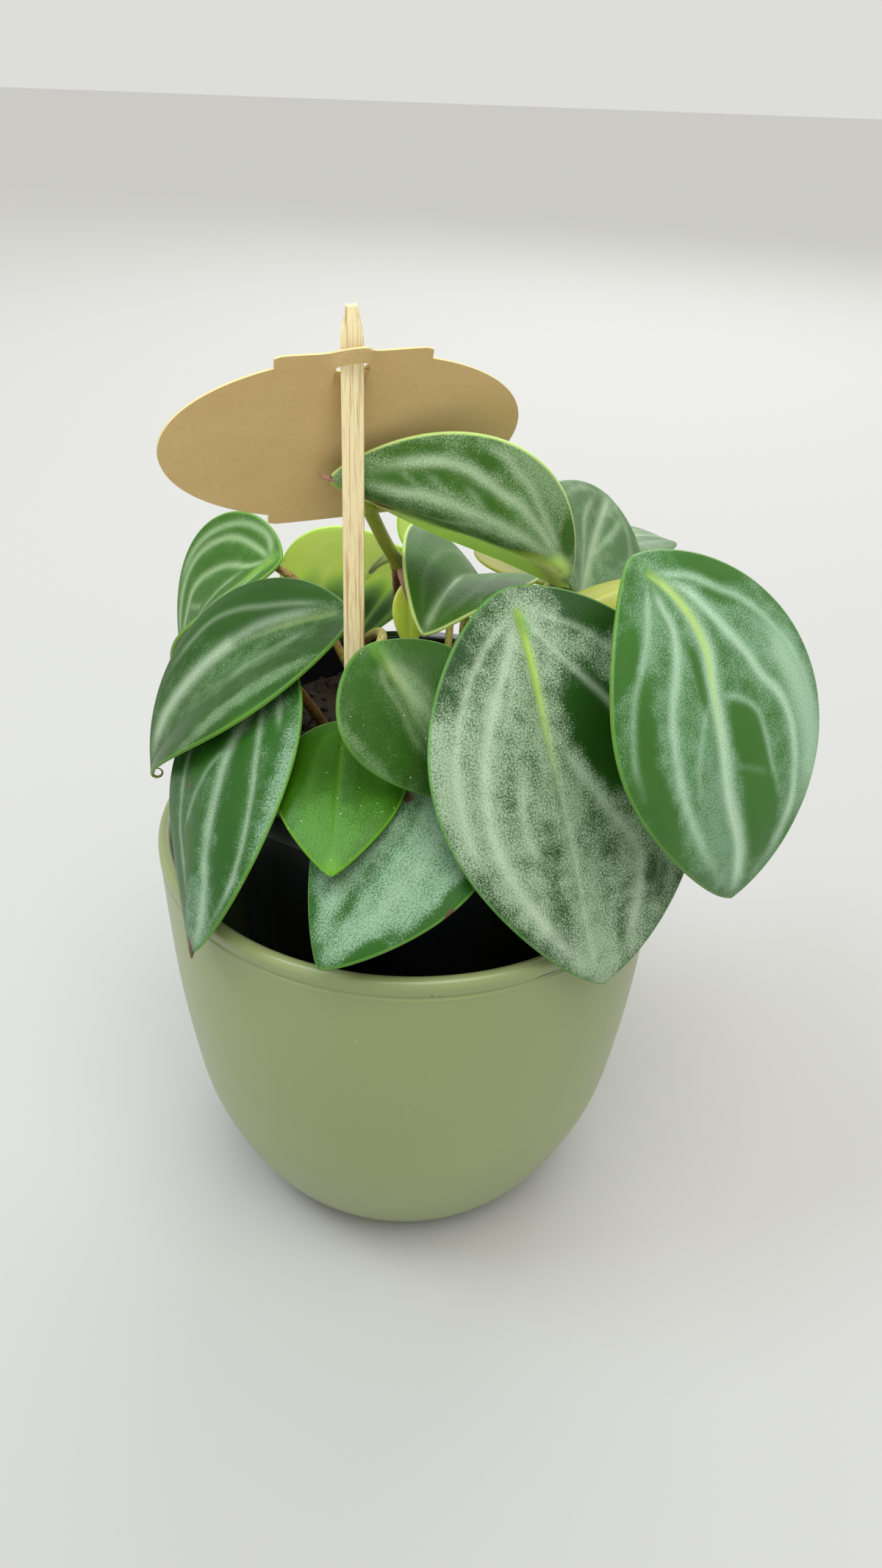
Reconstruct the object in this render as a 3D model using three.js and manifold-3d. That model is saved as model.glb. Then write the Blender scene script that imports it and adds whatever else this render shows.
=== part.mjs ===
// A silver-veined peperomia growing in a black nursery pot, which stands inside
// a round-bottomed cachepot, with a flat bamboo stick that carries a kraft card.
//
// Units are millimetres and +Z is up. The origin is the centre of the cachepot's
// flat foot, so that z = 0 is the table.

import * as THREE from 'three';
import { mergeVertices } from 'three/addons/utils/BufferGeometryUtils.js';
import Module from 'manifold-3d';

const wasm = await Module();
wasm.setup();

// ---- driving dimensions ----------------------------------------------------

const ROUND_STEPS = 40;          // facets round each pot

const CACHEPOT_HEIGHT = 126;
const CACHEPOT_RIM_RADIUS = 72.4;
const CACHEPOT_WALL = 4;
const CACHEPOT_FLOOR = 6;
const CACHEPOT_FOOT_RADIUS = 38;
const GROOVE_BELOW_RIM = 5;      // thin groove just under the rounded lip
const GROOVE_DEPTH = 0.5;

const NURSERY_OFFSET_Y = 4;      // the inner pot stands a little to the back
const NURSERY_TOP = 154.8;
const NURSERY_RIM_RADIUS = 59.5;
const NURSERY_BASE_RADIUS = 42;
const NURSERY_WALL = 1.4;
const NURSERY_GAP = 0.3;         // clearance over the cachepot's floor

const SOIL_TOP = 146;
const SOIL_GAP = 0.3;            // clearance between soil and nursery pot
const HOLE_GAP = 0.3;            // clearance where a leaf stalk leaves a stem, and round the stick
const ROOT_HOLE_GAP = 0.8;       // clearance round each stalk in the soil
const ROOT_DEPTH_Z = 134;        // how deep the stems reach into the soil

const STICK = { x: -15, y: -20, width: 5, depth: 2.4, bottom: 112, top: 270, taper: 6.2, tipWidth: 2.7 };

const CARD = {
  slot: [-13.75, -17.2, 257.35],   // where the stick comes through to the front
  yaw: 22,                       // degrees, right end turned away
  tilt: 16.4,                    // degrees, lower edge leaning back
  halfLength: 43.75,
  halfHeight: 20.75,
  centre: [-0.7, -18.85],        // ellipse centre seen from the slot
  tabHalfWidth: 18.35,
  tabHalfHeight: 21.6,
  thickness: 0.8,
  notch: [-5.6, 1.2, -2.6],      // left side, right side and bottom of the opening for the stick
  arch: [[-7.2, 0], [-5, 2.4], [-2.6, 3.9], [-0.4, 4.3], [1.4, 3.1], [3, 0]],  // across and forward
  archLower: [0.5, 2.6],         // height of its lower edge at the sides, and its rise in the middle
  archUpper: [2.6, 3.8],
};

const LEAF_THICKNESS = 1.3;
const LEAF_ROWS = 12;            // steps from base to tip
const LEAF_COLUMNS = 3;          // steps from midrib to each margin
const LOBE = 0.07;               // part of the length that lies behind the stalk
const MARGIN_POWER = 0.77;       // how full the outline is
const PETIOLE_SIDES = 7;
const PETIOLE_STEPS = 7;

// ---- finishes ---------------------------------------------------------------

const leafGreen = { color: 0x3c6b3a, roughness: 0.42, metalness: 0 };
const paleGreen = { color: 0x8fb25a, roughness: 0.5, metalness: 0 };
const oliveGreen = { color: 0x7d7f2e, roughness: 0.55, metalness: 0 };
const stemBrown = { color: 0x7a5a38, roughness: 0.6, metalness: 0 };

// ---- the leaves -------------------------------------------------------------
// at: where the stalk meets the blade. azimuth and rise: where the blade sets off
// to, in degrees. droop: how far it bends down by the tip. sway: sideways bend.
// roll and twist: turn about the midrib at the base, and more by the tip.
// curl: how far each half bends down across. fold: how far each half is lifted.
// stalk: points from the root or the stem to the blade.

const LEAVES = [
  {
    name: 'leaf_front_right', at: [24, -29, 204], length: 98, width: 74, azimuth: -54, rise: -45, droop: 39,
    sway: 6, roll: 9, twist: 8, curl: 19, fold: 11, widest: 0.81,
    stalk: [[14, -8, ROOT_DEPTH_Z], [16, -14, 165], [20, -21, 188]],
  },
  {
    name: 'leaf_right_outer', at: [53, -33, 216], length: 87, width: 69, azimuth: -33, rise: -39, droop: 54,
    sway: -12, roll: 14, twist: -2, curl: 14, fold: 6, widest: 0.88,
    stalk: [[39, -5, 178], [44, -12, 186], [51, -11, 195], [54, -19, 208]], stem: 'stem_right',
  },
  {
    name: 'leaf_top', at: [36, -4, 203], length: 67, width: 42, azimuth: -145, rise: 42, droop: 33,
    sway: -42, roll: 52, twist: 23, curl: 19, fold: 48, widest: 0.9,
    stalk: [[18, 29, 173], [31, 28, 181], [38, 19, 191], [37, 7, 198]], stem: 'stem_middle',
  },
  {
    name: 'leaf_left_upper', at: [-21, -2, 189], length: 71, width: 55, azimuth: -164, rise: -13, droop: 56,
    sway: -18, roll: -7, twist: -7, curl: 26, fold: 22, widest: 0.81,
    stalk: [[-17, 4, 181], [-18.5, 1, 186]], stem: 'stem_left',
  },
  {
    name: 'leaf_left_lower', at: [-41, -6, 179], length: 83, width: 50, azimuth: -103, rise: -13, droop: 69,
    sway: -5, roll: 25, twist: 20, curl: 5, fold: -6, widest: 0.95,
    stalk: [[-26, 14, ROOT_DEPTH_Z], [-30, 8, 158], [-36, 0, 171]],
  },
  {
    name: 'leaf_front_bright', at: [-17, -28, 171], length: 44, width: 33, azimuth: -91, rise: -7, droop: 29,
    sway: -1, roll: 1, twist: 2, curl: 27, fold: 8, widest: 0.81,
    stalk: [[-4, -8, ROOT_DEPTH_Z], [-7, -16, 156], [-11, -24, 167]],
  },
  {
    name: 'leaf_centre_round', at: [-9, -33, 195], length: 39, width: 42, azimuth: -46, rise: -32, droop: 39,
    sway: 3, roll: -1, twist: 23, curl: 11, fold: 12, widest: 0.81,
    stalk: [[-16, 4, 178], [-10, -8, 188], [-8, -24, 194]], stem: 'stem_left',
  },
  {
    name: 'leaf_front_low', at: [9, -34, 167], length: 64, width: 44, azimuth: -109, rise: -9, droop: 46,
    sway: -35, roll: -11, twist: -6, curl: 18, fold: 0, widest: 0.81,
    stalk: [[9, -20, ROOT_DEPTH_Z], [9.5, -23, 153], [10, -30, 162]],
  },
  {
    name: 'leaf_back_left', at: [-42, 37, 188], length: 56, width: 50, azimuth: 161, rise: -23, droop: 61,
    sway: 6, roll: -27, twist: 7, curl: -19, fold: 12, widest: 0.81,
    stalk: [[-16, 32, ROOT_DEPTH_Z], [-22, 35, 160], [-34, 37, 181]],
  },
  {
    name: 'leaf_back_pale', at: [-7, 43, 190], length: 62, width: 50, azimuth: 126, rise: -36, droop: 43,
    sway: 8, roll: 33, twist: -5, curl: 22, fold: 23, widest: 0.81, finish: paleGreen,
    stalk: [[-4, 21, 187], [-5, 33, 191]], stem: 'stem_back',
  },
  {
    name: 'leaf_centre_hooded', at: [20, 29, 186], length: 51, width: 40, azimuth: -114, rise: 43, droop: 75,
    sway: 3, roll: -12, twist: -9, curl: 19, fold: 33, widest: 0.81,
    stalk: [[14, 31, 166], [15, 35, 174], [19, 33, 182]], stem: 'stem_middle',
  },
  {
    name: 'leaf_back_right_tall', at: [48, 33, 183], length: 45, width: 46, azimuth: 77, rise: 28, droop: 17,
    sway: -5, roll: 46, twist: -6, curl: 35, fold: 19, widest: 0.81,
    stalk: [[34, 24, ROOT_DEPTH_Z], [44, 28, 160], [49, 31, 174]],
  },
  {
    name: 'leaf_back_right_far', at: [57, 64, 184], length: 42, width: 27, azimuth: 45, rise: 6, droop: 36,
    sway: 2, roll: 1, twist: 2, curl: 24, fold: 11, widest: 0.81,
    stalk: [[37, 32, ROOT_DEPTH_Z], [39, 35, 157], [48, 47, 169], [57, 60, 180]],
  },
  {
    name: 'leaf_back_young', at: [0, 68, 180], length: 28, width: 13, azimuth: -90, rise: 80, droop: 0,
    sway: 0, roll: 0, twist: 0, curl: 20, fold: 5, widest: 0.81, finish: paleGreen,
    stalk: [[10, 51, ROOT_DEPTH_Z], [11, 61, 163], [8, 71, 173]],
  },
  {
    name: 'leaf_back_olive', at: [46, 43, 180], length: 44, width: 33, azimuth: 128, rise: 0, droop: 8,
    sway: -5, roll: 8, twist: 4, curl: 20, fold: 15, widest: 0.81, finish: oliveGreen,
    stalk: [[28, 38, ROOT_DEPTH_Z], [36, 42, 160], [44, 43, 174]],
  },
  {
    name: 'leaf_right_small', at: [42, -2, 193], length: 38, width: 29, azimuth: 36, rise: 9, droop: 23,
    sway: 11, roll: 3, twist: -1, curl: 43, fold: -4, widest: 0.81, finish: oliveGreen,
    stalk: [[34, -3, 168], [35, 3, 180], [40, 2, 189]], stem: 'stem_right',
  },
  {
    name: 'leaf_rear_middle', at: [28, 50, 166], length: 50, width: 34, azimuth: 68, rise: 5, droop: 58,
    sway: 0, roll: 0, twist: 0, curl: 22, fold: 10, widest: 0.81,
    stalk: [[22, 44, ROOT_DEPTH_Z], [23, 45, 155], [27, 49, 162]],
  },
  {
    name: 'leaf_rear_right', at: [46, 8, 168], length: 58, width: 44, azimuth: 8, rise: 5, droop: 58,
    sway: 0, roll: 0, twist: 0, curl: 22, fold: 10, widest: 0.81,
    stalk: [[30, 8, ROOT_DEPTH_Z], [38, 8, 158], [44, 8, 165]],
  },
];

// ---- the stems --------------------------------------------------------------

const STEMS = [
  { name: 'stem_back', radius: 2.2, path: [[2, 36, ROOT_DEPTH_Z], [-1, 33, 160], [-4, 24, 184], [-4.5, 10, 200]] },
  { name: 'stem_middle', radius: 2.3, path: [[6, 30, ROOT_DEPTH_Z], [10, 32, 158], [18, 29, 174]] },
  { name: 'stem_right', radius: 2.3, path: [[24, 4, ROOT_DEPTH_Z], [31, -2, 160], [39, -5, 178]] },
  { name: 'stem_left', radius: 2.2, path: [[-12, 16, ROOT_DEPTH_Z], [-14, 11, 160], [-16.5, 4, 180]] },
];

const BARE_STALK = { radius: 1.5, path: [[-4.5, 11, 199], [-9, -1, 211], [-12, -8.5, 221.5]] };

const YOUNG_LEAF = {
  name: 'leaf_young_front', at: [-2.5, 13, 192], length: 18, width: 9, azimuth: -75, rise: -66, droop: 14,
  sway: 0, roll: 0, twist: 0, curl: 25, fold: 12, widest: 0.81, finish: paleGreen, stalk: [],
};

// ---- helpers ----------------------------------------------------------------

const radians = (degrees) => (degrees * Math.PI) / 180;
const vector = (point) => new THREE.Vector3(...point);

function triangleGeometry(points, triangles) {
  const geometry = new THREE.BufferGeometry();
  geometry.setAttribute('position', new THREE.Float32BufferAttribute(points.flat(), 3));
  geometry.setIndex(triangles.flat());
  return geometry;
}

function toSolid(geometry) {
  const bare = geometry.clone();
  bare.deleteAttribute('normal');
  bare.deleteAttribute('uv');
  const merged = mergeVertices(bare, 1e-4);
  return new wasm.Manifold(new wasm.Mesh({
    numProp: 3,
    vertProperties: new Float32Array(merged.attributes.position.array),
    triVerts: new Uint32Array(merged.index.array),
  }));
}

function fromSolid(solid) {
  const mesh = solid.getMesh();
  const geometry = new THREE.BufferGeometry();
  geometry.setAttribute('position', new THREE.Float32BufferAttribute(mesh.vertProperties, 3));
  geometry.setIndex([...mesh.triVerts]);
  return geometry;
}

function makeMesh(name, geometry, finish) {
  geometry.computeVertexNormals();
  const mesh = new THREE.Mesh(geometry, new THREE.MeshStandardMaterial(finish));
  mesh.name = name;
  return mesh;
}

// A closed tube along a smooth curve through the points.
function tube(path, radius, steps = PETIOLE_STEPS, sides = PETIOLE_SIDES) {
  const outline = new THREE.Shape();
  for (let i = 0; i < sides; i += 1) {
    const angle = (2 * Math.PI * i) / sides;
    const x = radius * Math.cos(angle);
    const y = radius * Math.sin(angle);
    if (i === 0) outline.moveTo(x, y);
    else outline.lineTo(x, y);
  }
  outline.closePath();
  const curve = new THREE.CatmullRomCurve3(path.map(vector));
  return new THREE.ExtrudeGeometry(outline, { steps, bevelEnabled: false, extrudePath: curve });
}

// A stalk's path, led straight up through the soil if it starts at root depth.
function rooted(path) {
  const [x, y, z] = path[0];
  return z === ROOT_DEPTH_Z ? [path[0], [x, y, SOIL_TOP], ...path.slice(1)] : path;
}

// A plain upright hole in the soil for a stalk.
function rootHole(path, radius) {
  const [x, y] = path[0];
  return toSolid(tube([[x, y, ROOT_DEPTH_Z - HOLE_GAP], [x, y, SOIL_TOP + 4]], radius + ROOT_HOLE_GAP, 1, 8));
}

// The room that a tube needs: the same tube made wider all round and longer at both ends.
function sleeve(path, radius, steps = PETIOLE_STEPS, sides = PETIOLE_SIDES) {
  const wide = radius + 1.4 * HOLE_GAP;
  const curve = new THREE.CatmullRomCurve3(path.map(vector));
  let solid = toSolid(tube(path, wide, steps, sides));
  for (const [t, sign] of [[0, -1], [1, 1]]) {
    const end = curve.getPoint(t);
    const tangent = curve.getTangent(t).multiplyScalar(sign);
    const inside = end.clone().addScaledVector(tangent, -1);
    const outside = end.clone().addScaledVector(tangent, HOLE_GAP);
    solid = solid.add(toSolid(tube([inside.toArray(), outside.toArray()], wide, 1, 12)));
  }
  return solid;
}

// Margin of a flat blade: distance along the midrib and half width at t = 0 (base) to 1 (tip).
function margin(leaf, t) {
  const q = (1 - Math.cos(Math.PI * t)) / 2;
  const lobe = LOBE * leaf.length;
  const along = -lobe + (leaf.length + lobe) * q;
  const half = (leaf.width / 2) * Math.sin(Math.PI * q ** leaf.widest) ** MARGIN_POWER;
  return [along, half];
}

// The midrib as a chain of short steps, each turned a little more than the one before.
function midrib(leaf) {
  const steps = 60;
  const start = -0.25 * leaf.length;
  const step = (leaf.length - start) / steps;
  const points = [new THREE.Vector3()];
  const direction = (s) => {
    const rise = radians(leaf.rise - (leaf.droop * s) / leaf.length);
    const azimuth = radians(leaf.azimuth + (leaf.sway * s) / leaf.length);
    return new THREE.Vector3(
      Math.cos(rise) * Math.cos(azimuth),
      Math.cos(rise) * Math.sin(azimuth),
      Math.sin(rise),
    );
  };
  for (let i = 0; i < steps; i += 1) {
    const middle = direction(start + (i + 0.5) * step);
    points.push(points[i].clone().addScaledVector(middle, step));
  }
  const raw = (s) => {
    const place = Math.min(Math.max((s - start) / step, 0), steps - 1e-6);
    const i = Math.floor(place);
    return points[i].clone().lerp(points[i + 1], place - i);
  };
  const shift = vector(leaf.at).sub(raw(0));
  return { direction, at: (s) => raw(s).add(shift) };
}

// A point of the blade's middle surface, x along the midrib and y across it.
function bladePoint(leaf, rib, x, y) {
  const along = rib.direction(x);
  const azimuth = radians(leaf.azimuth + (leaf.sway * x) / leaf.length);
  const side = new THREE.Vector3(-Math.sin(azimuth), Math.cos(azimuth), 0);
  const up = new THREE.Vector3().crossVectors(along, side);
  const roll = radians(leaf.roll + (leaf.twist * x) / leaf.length);
  const across = side.clone().multiplyScalar(Math.cos(roll)).addScaledVector(up, Math.sin(roll));
  const normal = up.clone().multiplyScalar(Math.cos(roll)).addScaledVector(side, -Math.sin(roll));
  const bend = radians(leaf.curl) / (leaf.width / 2);
  const fold = radians(leaf.fold);
  const distance = Math.abs(y);
  const lateral = Math.sin(bend * distance) / bend;
  const drop = -(1 - Math.cos(bend * distance)) / bend;
  const out = lateral * Math.cos(fold) - drop * Math.sin(fold);
  const lift = lateral * Math.sin(fold) + drop * Math.cos(fold);
  return rib.at(x).addScaledVector(across, Math.sign(y) * out).addScaledVector(normal, lift);
}

// The blade as a closed sheet: one point at each end, a row of points at each step between.
function bladeGeometry(leaf) {
  const rib = midrib(leaf);
  const place = (t, v) => {
    const [x, half] = margin(leaf, t);
    const start = leaf.length * t ** 1.2;
    return [start + (x - start) * Math.abs(v), half * v];
  };
  const rows = [];
  for (let i = 0; i <= LEAF_ROWS; i += 1) {
    const row = [];
    const ends = i === 0 || i === LEAF_ROWS;
    for (let j = ends ? 0 : -LEAF_COLUMNS; j <= (ends ? 0 : LEAF_COLUMNS); j += 1) {
      const t = i / LEAF_ROWS;
      const v = j / LEAF_COLUMNS;
      const [x, y] = ends ? [margin(leaf, t)[0], 0] : place(t, v);
      const point = bladePoint(leaf, rib, x, y);
      const ahead = bladePoint(leaf, rib, x + 0.5, y).sub(bladePoint(leaf, rib, x - 0.5, y));
      const toSide = bladePoint(leaf, rib, x, y + 0.5).sub(bladePoint(leaf, rib, x, y - 0.5));
      const normal = ahead.cross(toSide).normalize();
      row.push({ point, normal });
    }
    rows.push(row);
  }
  const points = [];
  const index = (layer, i, j) => {
    const before = i === 0 ? 0 : 1 + (i - 1) * (2 * LEAF_COLUMNS + 1);
    const perLayer = 2 + (LEAF_ROWS - 1) * (2 * LEAF_COLUMNS + 1);
    return layer * perLayer + before + j;
  };
  for (const side of [1, -1]) {
    for (const row of rows) {
      for (const { point, normal } of row) {
        points.push(point.clone().addScaledVector(normal, (side * LEAF_THICKNESS) / 2).toArray());
      }
    }
  }
  const upper = [];
  const last = 2 * LEAF_COLUMNS;
  for (let j = 0; j < last; j += 1) {
    upper.push([[0, 0], [1, j], [1, j + 1]]);
    for (let i = 1; i < LEAF_ROWS - 1; i += 1) {
      if (j < LEAF_COLUMNS) {
        upper.push([[i, j], [i + 1, j], [i + 1, j + 1]], [[i, j], [i + 1, j + 1], [i, j + 1]]);
      } else {
        upper.push([[i, j], [i + 1, j], [i, j + 1]], [[i + 1, j], [i + 1, j + 1], [i, j + 1]]);
      }
    }
    upper.push([[LEAF_ROWS - 1, j], [LEAF_ROWS, 0], [LEAF_ROWS - 1, j + 1]]);
  }
  const loop = [[0, 0]];
  for (let i = 1; i < LEAF_ROWS; i += 1) loop.push([i, last]);
  loop.push([LEAF_ROWS, 0]);
  for (let i = LEAF_ROWS - 1; i > 0; i -= 1) loop.push([i, 0]);
  const triangles = [];
  for (const [a, b, c] of upper) {
    triangles.push([index(0, ...a), index(0, ...b), index(0, ...c)]);
    triangles.push([index(1, ...a), index(1, ...c), index(1, ...b)]);
  }
  for (let k = 0; k < loop.length; k += 1) {
    const a = loop[k];
    const b = loop[(k + 1) % loop.length];
    triangles.push([index(0, ...a), index(0, ...b), index(1, ...a)]);
    triangles.push([index(0, ...b), index(1, ...b), index(1, ...a)]);
  }
  return triangleGeometry(points, triangles);
}

// ---- stems and leaves ---------------------------------------------------------

const object = new THREE.Group();
const soilHoles = [];
const stemHoles = {};

for (const stem of STEMS) {
  const path = rooted(stem.path);
  let solid = toSolid(tube(path, stem.radius, 10, 10));
  if (stem.name === 'stem_back') solid = solid.add(toSolid(tube(BARE_STALK.path, BARE_STALK.radius)));
  object.add(makeMesh(stem.name, fromSolid(solid), stemBrown));
  stemHoles[stem.name] = sleeve(path, stem.radius, 10, 10);
  soilHoles.push(rootHole(path, stem.radius));
}

for (const leaf of LEAVES) {
  const rib = midrib(leaf);
  const path = rooted([...leaf.stalk, rib.at(0).toArray()]);
  const stalkRadius = leaf.length > 60 ? 1.6 : 1.25;
  let solid = toSolid(bladeGeometry(leaf)).add(toSolid(tube(path, stalkRadius)));
  if (leaf.stem) {
    solid = solid.subtract(stemHoles[leaf.stem]);
  } else {
    soilHoles.push(rootHole(path, stalkRadius));
  }
  object.add(makeMesh(leaf.name, fromSolid(solid), leaf.finish ?? leafGreen));
}
object.add(makeMesh(YOUNG_LEAF.name, bladeGeometry(YOUNG_LEAF), YOUNG_LEAF.finish));

// ---- cachepot -----------------------------------------------------------------

const lip = CACHEPOT_WALL / 2;
const innerRim = CACHEPOT_RIM_RADIUS - CACHEPOT_WALL;
const grooveZ = CACHEPOT_HEIGHT - GROOVE_BELOW_RIM;
const cachepotOutline = [
  [0, 0], [CACHEPOT_FOOT_RADIUS, 0], [43.5, 2], [49.7, 6], [55.4, 14], [60.8, 26], [65.6, 41],
  [68.6, 61], [70.6, 81], [71.6, 101], [72.2, grooveZ - 1.2],
  [CACHEPOT_RIM_RADIUS - GROOVE_DEPTH, grooveZ], [CACHEPOT_RIM_RADIUS, grooveZ + 1],
];
for (const angle of [0, 45, 90, 135, 180]) {
  cachepotOutline.push([
    CACHEPOT_RIM_RADIUS - lip + lip * Math.cos(radians(angle)),
    CACHEPOT_HEIGHT - lip + lip * Math.sin(radians(angle)),
  ]);
}
cachepotOutline.push(
  [innerRim - 0.8, 101], [66.6, 81], [64.6, 61], [61.6, 41], [56.8, 26], [50, 14], [45, 8.6],
  [39.5, CACHEPOT_FLOOR], [0, CACHEPOT_FLOOR],
);

function turned(outline) {
  const points = outline.map(([x, y]) => new THREE.Vector2(x, y));
  const geometry = new THREE.LatheGeometry(points, ROUND_STEPS);
  geometry.rotateX(Math.PI / 2);
  return geometry;
}

object.add(makeMesh('cachepot', turned(cachepotOutline), { color: 0x8a9270, roughness: 0.45, metalness: 0 }));

// ---- nursery pot ----------------------------------------------------------------

const nurseryFloor = CACHEPOT_FLOOR + NURSERY_GAP;
const nurseryOutline = [
  [0, nurseryFloor], [NURSERY_BASE_RADIUS - 8, nurseryFloor], [NURSERY_BASE_RADIUS - 5, nurseryFloor + 4],
  [NURSERY_BASE_RADIUS, nurseryFloor + 8], [NURSERY_RIM_RADIUS - 3.2, NURSERY_TOP - 7],
  [NURSERY_RIM_RADIUS, NURSERY_TOP - 7], [NURSERY_RIM_RADIUS, NURSERY_TOP],
  [NURSERY_RIM_RADIUS - 3.2 - NURSERY_WALL, NURSERY_TOP],
  [NURSERY_RIM_RADIUS - 3.2 - NURSERY_WALL, NURSERY_TOP - 7],
  [NURSERY_BASE_RADIUS - NURSERY_WALL, nurseryFloor + 9], [0, nurseryFloor + 9],
];
const nursery = makeMesh('nursery_pot', turned(nurseryOutline), { color: 0x121417, roughness: 0.4, metalness: 0 });
nursery.position.y = NURSERY_OFFSET_Y;
object.add(nursery);

// ---- soil -------------------------------------------------------------------------

const soilFloor = nurseryFloor + 9 + SOIL_GAP;
const soilEdge = NURSERY_RIM_RADIUS - 3.2 - NURSERY_WALL - SOIL_GAP - 0.4;
const soilGeometry = turned([
  [0, soilFloor], [NURSERY_BASE_RADIUS - NURSERY_WALL - 2 * SOIL_GAP, soilFloor],
  [soilEdge, SOIL_TOP - 1.5], [soilEdge - 12, SOIL_TOP], [0, SOIL_TOP],
]);
soilGeometry.translate(0, NURSERY_OFFSET_Y, 0);
let soil = toSolid(soilGeometry);
const stickHole = new THREE.BoxGeometry(STICK.width + 2 * HOLE_GAP, STICK.depth + 2 * HOLE_GAP, 60);
stickHole.translate(STICK.x, STICK.y, STICK.bottom - HOLE_GAP + 30);
soil = soil.subtract(toSolid(stickHole));
for (const hole of soilHoles) soil = soil.subtract(hole);
object.add(makeMesh('soil', fromSolid(soil), { color: 0x241c16, roughness: 0.95, metalness: 0 }));

// ---- bamboo stick -------------------------------------------------------------------

const stickShape = new THREE.Shape([
  [-STICK.width / 2, STICK.bottom], [STICK.width / 2, STICK.bottom],
  [STICK.width / 2, STICK.top - STICK.taper], [STICK.tipWidth / 2, STICK.top - 1],
  [STICK.tipWidth / 2 - 0.8, STICK.top], [-STICK.tipWidth / 2 + 0.8, STICK.top],
  [-STICK.tipWidth / 2, STICK.top - 1], [-STICK.width / 2, STICK.top - STICK.taper],
].map(([x, y]) => new THREE.Vector2(x, y)));
const stickGeometry = new THREE.ExtrudeGeometry(stickShape, { depth: STICK.depth, bevelEnabled: false });
stickGeometry.translate(0, 0, -STICK.depth / 2);
stickGeometry.rotateX(Math.PI / 2);
stickGeometry.translate(STICK.x, STICK.y, 0);
object.add(makeMesh('label_stick', stickGeometry, { color: 0xdcc48c, roughness: 0.6, metalness: 0 }));

// ---- kraft card ---------------------------------------------------------------------
// Drawn flat with its slot at the origin, x to the right, y up and z to the front.

function cardShape() {
  const [cx, cy] = CARD.centre;
  const corner = Math.acos(CARD.tabHalfWidth / CARD.halfLength);
  const points = [];
  const arc = (from, to) => {
    for (let i = 0; i <= 12; i += 1) {
      const angle = from + ((to - from) * i) / 12;
      points.push([cx + CARD.halfLength * Math.cos(angle), cy + CARD.halfHeight * Math.sin(angle)]);
    }
  };
  arc(-corner, corner);
  points.push([cx + CARD.tabHalfWidth, cy + CARD.tabHalfHeight]);
  const [left, right, bottom] = CARD.notch;
  points.push([right, cy + CARD.tabHalfHeight], [right, bottom]);
  points.push([left, bottom], [left, cy + CARD.tabHalfHeight]);
  points.push([cx - CARD.tabHalfWidth, cy + CARD.tabHalfHeight]);
  arc(Math.PI - corner, Math.PI + corner);
  points.push([cx - CARD.tabHalfWidth, cy - CARD.tabHalfHeight], [cx + CARD.tabHalfWidth, cy - CARD.tabHalfHeight]);
  return new THREE.Shape(points.map(([x, y]) => new THREE.Vector2(x, y)));
}

// The strip above the slot arches forward and up over the stick.
function cardBridge() {
  const stations = new THREE.SplineCurve(CARD.arch.map(([x, y]) => new THREE.Vector2(x, y))).getPoints(14);
  const points = [];
  stations.forEach(({ x, y: forward }, i) => {
    const rise = Math.sin((Math.PI * i) / (stations.length - 1));
    const lower = CARD.archLower[0] + CARD.archLower[1] * rise;
    const upper = CARD.archUpper[0] + CARD.archUpper[1] * rise;
    const front = forward + CARD.thickness;
    points.push([x, lower, front], [x, upper, front], [x, upper, forward], [x, lower, forward]);
  });
  const triangles = [];
  for (let i = 0; i < stations.length - 1; i += 1) {
    for (let k = 0; k < 4; k += 1) {
      const a = 4 * i + k;
      const b = 4 * i + ((k + 1) % 4);
      triangles.push([a, a + 4, b + 4], [a, b + 4, b]);
    }
  }
  const last = 4 * (stations.length - 1);
  triangles.push([0, 1, 2], [0, 2, 3], [last, last + 2, last + 1], [last, last + 3, last + 2]);
  return triangleGeometry(points, triangles);
}

const cardGeometry = new THREE.ExtrudeGeometry(cardShape(), { depth: CARD.thickness, bevelEnabled: false });
const card = makeMesh(
  'label_card',
  fromSolid(toSolid(cardGeometry).add(toSolid(cardBridge()))),
  { color: 0xb99a63, roughness: 0.85, metalness: 0 },
);
const facing = new THREE.Vector3(Math.sin(radians(CARD.yaw)), -Math.cos(radians(CARD.yaw)), 0);
const rightward = new THREE.Vector3(Math.cos(radians(CARD.yaw)), Math.sin(radians(CARD.yaw)), 0);
const upward = new THREE.Vector3(0, 0, Math.cos(radians(CARD.tilt)))
  .addScaledVector(facing, Math.sin(radians(CARD.tilt)));
const outward = new THREE.Vector3().crossVectors(rightward, upward);
card.quaternion.setFromRotationMatrix(new THREE.Matrix4().makeBasis(rightward, upward, outward));
card.position.copy(vector(CARD.slot)).addScaledVector(outward, -CARD.thickness / 2);
object.add(card);

export default object;
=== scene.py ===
"""A silver-veined peperomia in a sage cachepot, with a blank kraft card on a bamboo stick.

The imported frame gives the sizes. Each leaf is grown again as a fine closed blade
along the midrib of its solid, with its veins pressed into it, and the stems, soil,
pots, stick and card get meshes and finishes of their own. Lengths in the classes
are millimetres, and meshes are written in metres.
"""

from __future__ import annotations

import logging
import math
from collections.abc import Sequence
from dataclasses import dataclass, field
from enum import Enum
from itertools import combinations

import bpy
import numpy as np
from mathutils import Matrix, Vector, geometry, noise


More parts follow.
